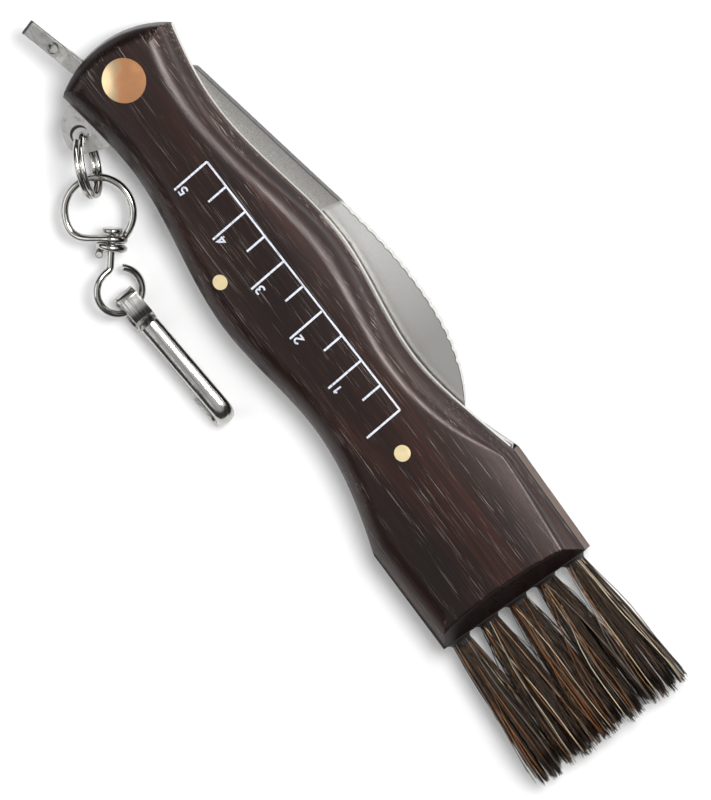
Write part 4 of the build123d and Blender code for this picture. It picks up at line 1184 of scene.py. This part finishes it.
# %% Swivel eye
EYE_WIRE = 0.60
EYE_RADIUS = 3.85
EYE_REACH = 9.56
EYE_BEND = 1.2
EYE_TURN = math.radians(54.1)
EYE_SWEEP = 321
EYE_ROLL = math.radians(-32)
HEAD_RADIUS = 1.7
HEAD_HALF = 0.42
HEAD_PLACE = -0.3
rolled_side = SHANK_SIDE * math.cos(EYE_ROLL) + UPWARD * math.sin(EYE_ROLL)
rolled_up = UPWARD * math.cos(EYE_ROLL) - SHANK_SIDE * math.sin(EYE_ROLL)
on_eye = placed(SWIVEL_PLACE, SHANK_WAY, rolled_side, rolled_up)

bend_start = EYE_REACH - (EYE_RADIUS + EYE_BEND) * math.sin(EYE_TURN)
eye_centre = (EYE_RADIUS + EYE_BEND) * math.cos(EYE_TURN) - EYE_BEND
eye_path = [on_eye(bend_start * k / 10, 0, 0) for k in range(10)]
for t in (EYE_TURN * step / 8 for step in range(8)):
    eye_path.append(on_eye(bend_start + EYE_BEND * math.sin(t), EYE_BEND * (math.cos(t) - 1), 0))
for degrees in range(0, EYE_SWEEP + 1, 3):
    t = 1.5 * math.pi - EYE_TURN + math.radians(degrees)
    eye_path.append(on_eye(EYE_REACH + EYE_RADIUS * math.cos(t), eye_centre + EYE_RADIUS * math.sin(t), 0))
eye = wire_mesh("swivel_eye_wire", eye_path, EYE_WIRE)
tell(eye)

# %% Pressed head
# Its rings, as places along its thickness and shares of its radius
rim = [(-1.0, 0.75), (-0.9, 0.92), (-0.5, 1.0), (0.3, 0.98), (0.8, 0.85), (1.0, 0.6)]
head_rings = []
for place, share in rim:
    round_rim = circle(0, 0, share * HEAD_RADIUS, 32)
    head_rings.append([on_eye(HEAD_PLACE + place * HEAD_HALF, b, c) for b, c in round_rim])
head = skin_rings("swivel_eye_head", [head_rings], [nickel], 50)
for piece in (eye, head):
    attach(piece, "swivel_eye")
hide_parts("swivel_eye")
tell(head)

# %% [markdown]
# The brush is natural bristle: most hairs near black, some brown or tan, a few grey or blonde. A
# bristle is a smooth horn rod, so it has a soft gloss. One material could pick colours at random,
# but a material for each kind keeps the shares exact. Along a hair the colour drifts between half
# and full strength, over about 4 mm.


# %% Bristle colours
def bristle(name, code, rough):
    """Bristle of one colour, a little lighter along some hairs."""
    horn, tree = start_material(name)
    vary = add(tree, "TexNoise", {"Vector": grain_space(tree, (0.25, 2.5, 2.5)), "Scale": 1.0})
    tone = add(tree, "ValToRGB", {"Fac": vary}, [(0.3, colour(code, 0.55)), (0.7, code)])
    return finish_material(horn, Base_Color=tone, Roughness=rough, IOR=1.40,
                           Specular_Tint=colour("#FFE2CC"))


hair_kinds = [
    (bristle("black_bristle", "#17110E", 0.30), 0.82),
    (bristle("brown_bristle", "#38231A", 0.38), 0.105),
    (bristle("tan_bristle", "#8F5E38", 0.40), 0.030),
    (bristle("grey_bristle", "#7E766E", 0.40), 0.025),
    (bristle("blonde_bristle", "#E6D6B6", 0.45), 0.020),
]

# %% [markdown]
# The bristles are set in five round tufts. Near the wood a tuft is tight, and by the tips its
# hairs have spread, gathered in clumps and crossed. Blender's hair system would need grooming by
# hand, and the model keeps only real meshes. So each hair is a three-sided tube with a bend of
# its own, which gives true outlines at the ragged tips. A few hairs stray over the top.

# %% Sizes of the brush
HAIRS_PER_TUFT = 420
TOP_HAIRS = 7
CLUMPS = 18
HAIR_POINTS = 9
SLOT_MID = 6.8
TUFT_PITCH = 5.75
TUFT_MIDDLE = -1.3
TUFT_RADIUS = 1.45
TIP_PITCH = 6.05
TIP_SPREAD = (3.25, 2.75)       # across the handle and through it
NO_LIMIT = 99
TIP_LIMITS = {0: (-14.9, NO_LIMIT), 4: (-NO_LIMIT, 15.6)}   # the outer tufts stop at the sides
TOP_SPREAD = 5.0
TOP_RISE = 3.1
BRISTLE_LENGTH = 26.6
BROKEN_SHORT = 6                # the most that a rare broken hair lacks
SET_DEPTH = 1.5
STRAY_SHARE = 0.14
WANDER = 0.8                    # how far a hair wanders
STRAY_WANDER = 2.1
GATHERED = (0.65, 0.5)          # how far a clump draws its hairs, across and through
OPENING = 1.9                   # how early a hair leaves its tuft's straight line
OUTER_OPENING = 1.25


# %% Where the tufts are set
def tuft_root(index):
    """Where the middle of a tuft leaves the wood, as x and y."""
    y = TUFT_MIDDLE + (index - 2) * TUFT_PITCH
    return WOOD_END - END_SKEW * (SLOT_END[1] - y) / (SLOT_END[1] - SPRING_END[1]), y


print("tufts leave the wood at, in mm:", [[round(v, 1) for v in tuft_root(index)] for index in range(5)])


# %% The line of one hair
def hair_line(rng, index, clumps, on_top):
    """Points of a hair from inside the wood to its tip, and its radius."""
    root_x, root_y = tuft_root(index)
    tip_y = TUFT_MIDDLE + (index - 2) * TIP_PITCH - 0.25
    reach = 1.0 if on_top else math.sqrt(rng.random())
    turn = rng.uniform(0.15, 0.85) * math.pi if on_top else rng.random() * 2 * math.pi
    a, b = reach * math.cos(turn), reach * math.sin(turn)
    wander = STRAY_WANDER if on_top or rng.random() < STRAY_SHARE else WANDER
    side = max(-1, min(1, a + rng.gauss(0, 0.16)))
    lift = max(-1, min(1, b + rng.gauss(0, 0.16)))
    clump = min(clumps, key=lambda c: (c[0] - side) ** 2 + (c[1] - lift) ** 2)
    side += (clump[0] - side) * GATHERED[0]
    lift += (clump[1] - lift) * GATHERED[1]
    end_y = tip_y + TIP_SPREAD[0] * side + rng.gauss(0, 0.22) * wander
    end_z = SLOT_MID + TIP_SPREAD[1] * lift
    if on_top:
        end_y = tip_y + rng.uniform(-TOP_SPREAD, TOP_SPREAD)
        end_z = SLOT_MID + TOP_RISE
    lowest, highest = TIP_LIMITS.get(index, (-NO_LIMIT, NO_LIMIT))
    end_y = max(TUFT_MIDDLE + lowest, min(TUFT_MIDDLE + highest, end_y))
    length = BRISTLE_LENGTH + clump[2] + rng.uniform(-0.9, 0.2) - rng.random() ** 8 * BROKEN_SHORT
    length -= 0.15 * (index - 2)
    outer = (index == 4 and end_y > tip_y) or (index == 0 and end_y < tip_y)
    phase, beats = rng.random() * 2 * math.pi, rng.uniform(0.6, 1.5)
    sway = rng.gauss(0, 0.32) * wander * (0.45 if index in (0, 4) else 1.0)
    dip = rng.gauss(0, 0.18) * wander
    radius = rng.uniform(0.06, 0.085) if on_top else rng.uniform(0.055, 0.085)
    start_y, start_z = root_y + TUFT_RADIUS * a, SLOT_MID + TUFT_RADIUS * b
    path = []
    for t in np.linspace(0, 1, HAIR_POINTS):
        spread = 1 - (1 - t) ** (OUTER_OPENING if outer else OPENING)
        wave = math.sin(math.pi * t) * math.sin(phase + beats * 2 * math.pi * t)
        path.append((root_x - SET_DEPTH + (length + SET_DEPTH) * t,
                     start_y + (end_y - start_y) * spread + sway * wave,
                     start_z + (end_z - start_z) * spread + dip * wave))
    return path, radius


# %% [markdown]
# A tuft is all its hairs in one mesh, with one material slot for each colour. Random numbers
# start from a fixed seed, so the brush is the same each time. A bead of glue stands round each
# tuft where it leaves the wood, drawn up between the hairs like a fillet.


# %% Tufts
def tuft_mesh(index):
    """All the hairs of one tuft."""
    rng = random.Random(100 + index)
    clumps = [(rng.uniform(-1, 1), rng.uniform(-1, 1), rng.uniform(-1.3, 0.7)) for _ in range(CLUMPS)]
    hairs, kinds = [], []
    for number in range(HAIRS_PER_TUFT + TOP_HAIRS):
        on_top = number >= HAIRS_PER_TUFT
        path, radius = hair_line(rng, index, clumps, on_top)
        roll = rng.random() * 2 * math.pi
        turns = [roll + k * 2 * math.pi / 3 for k in range(3)]
        sizes = [radius] * (HAIR_POINTS - 1) + [radius * 0.6]
        hairs.append([[(x, y + size * math.cos(t), z + size * math.sin(t)) for t in turns]
                      for (x, y, z), size in zip(path, sizes)])
        pick = rng.uniform(0.90, 1.0) if on_top else rng.random()
        for kind, (_, share) in enumerate(hair_kinds):
            pick -= share
            if pick < 0:
                break
        kinds += [kind] * (3 * (HAIR_POINTS - 1) + 2)
    made = skin_rings(f"bristles_{index + 1}", hairs, [material for material, _ in hair_kinds], 180)
    made.data.polygons.foreach_set("material_index", kinds)
    return made


# %% Beads of glue
def collar_mesh(index):
    """The bead of glue round a tuft, hollow like a fillet."""
    x, y = tuft_root(index)
    profile = [(-0.4, 2.28), (0.05, 2.28), (0.22, 2.0), (0.45, 1.8), (0.8, 1.65), (1.3, 1.55)]
    rings = [[(x + rise, a, b) for a, b in circle(y, SLOT_MID, size, 32)] for rise, size in profile]
    return skin_rings(f"tuft_glue_{index + 1}", [rings], [glue_material])


# %% Set the brush
for index in range(5):
    tuft = tuft_mesh(index)
    collar = collar_mesh(index)
    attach(tuft, "handle")
    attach(collar, "handle")
    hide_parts(f"brush_tuft_{index + 1}")
    tell(tuft, collar)
print("hairs:", 5 * (HAIRS_PER_TUFT + TOP_HAIRS))
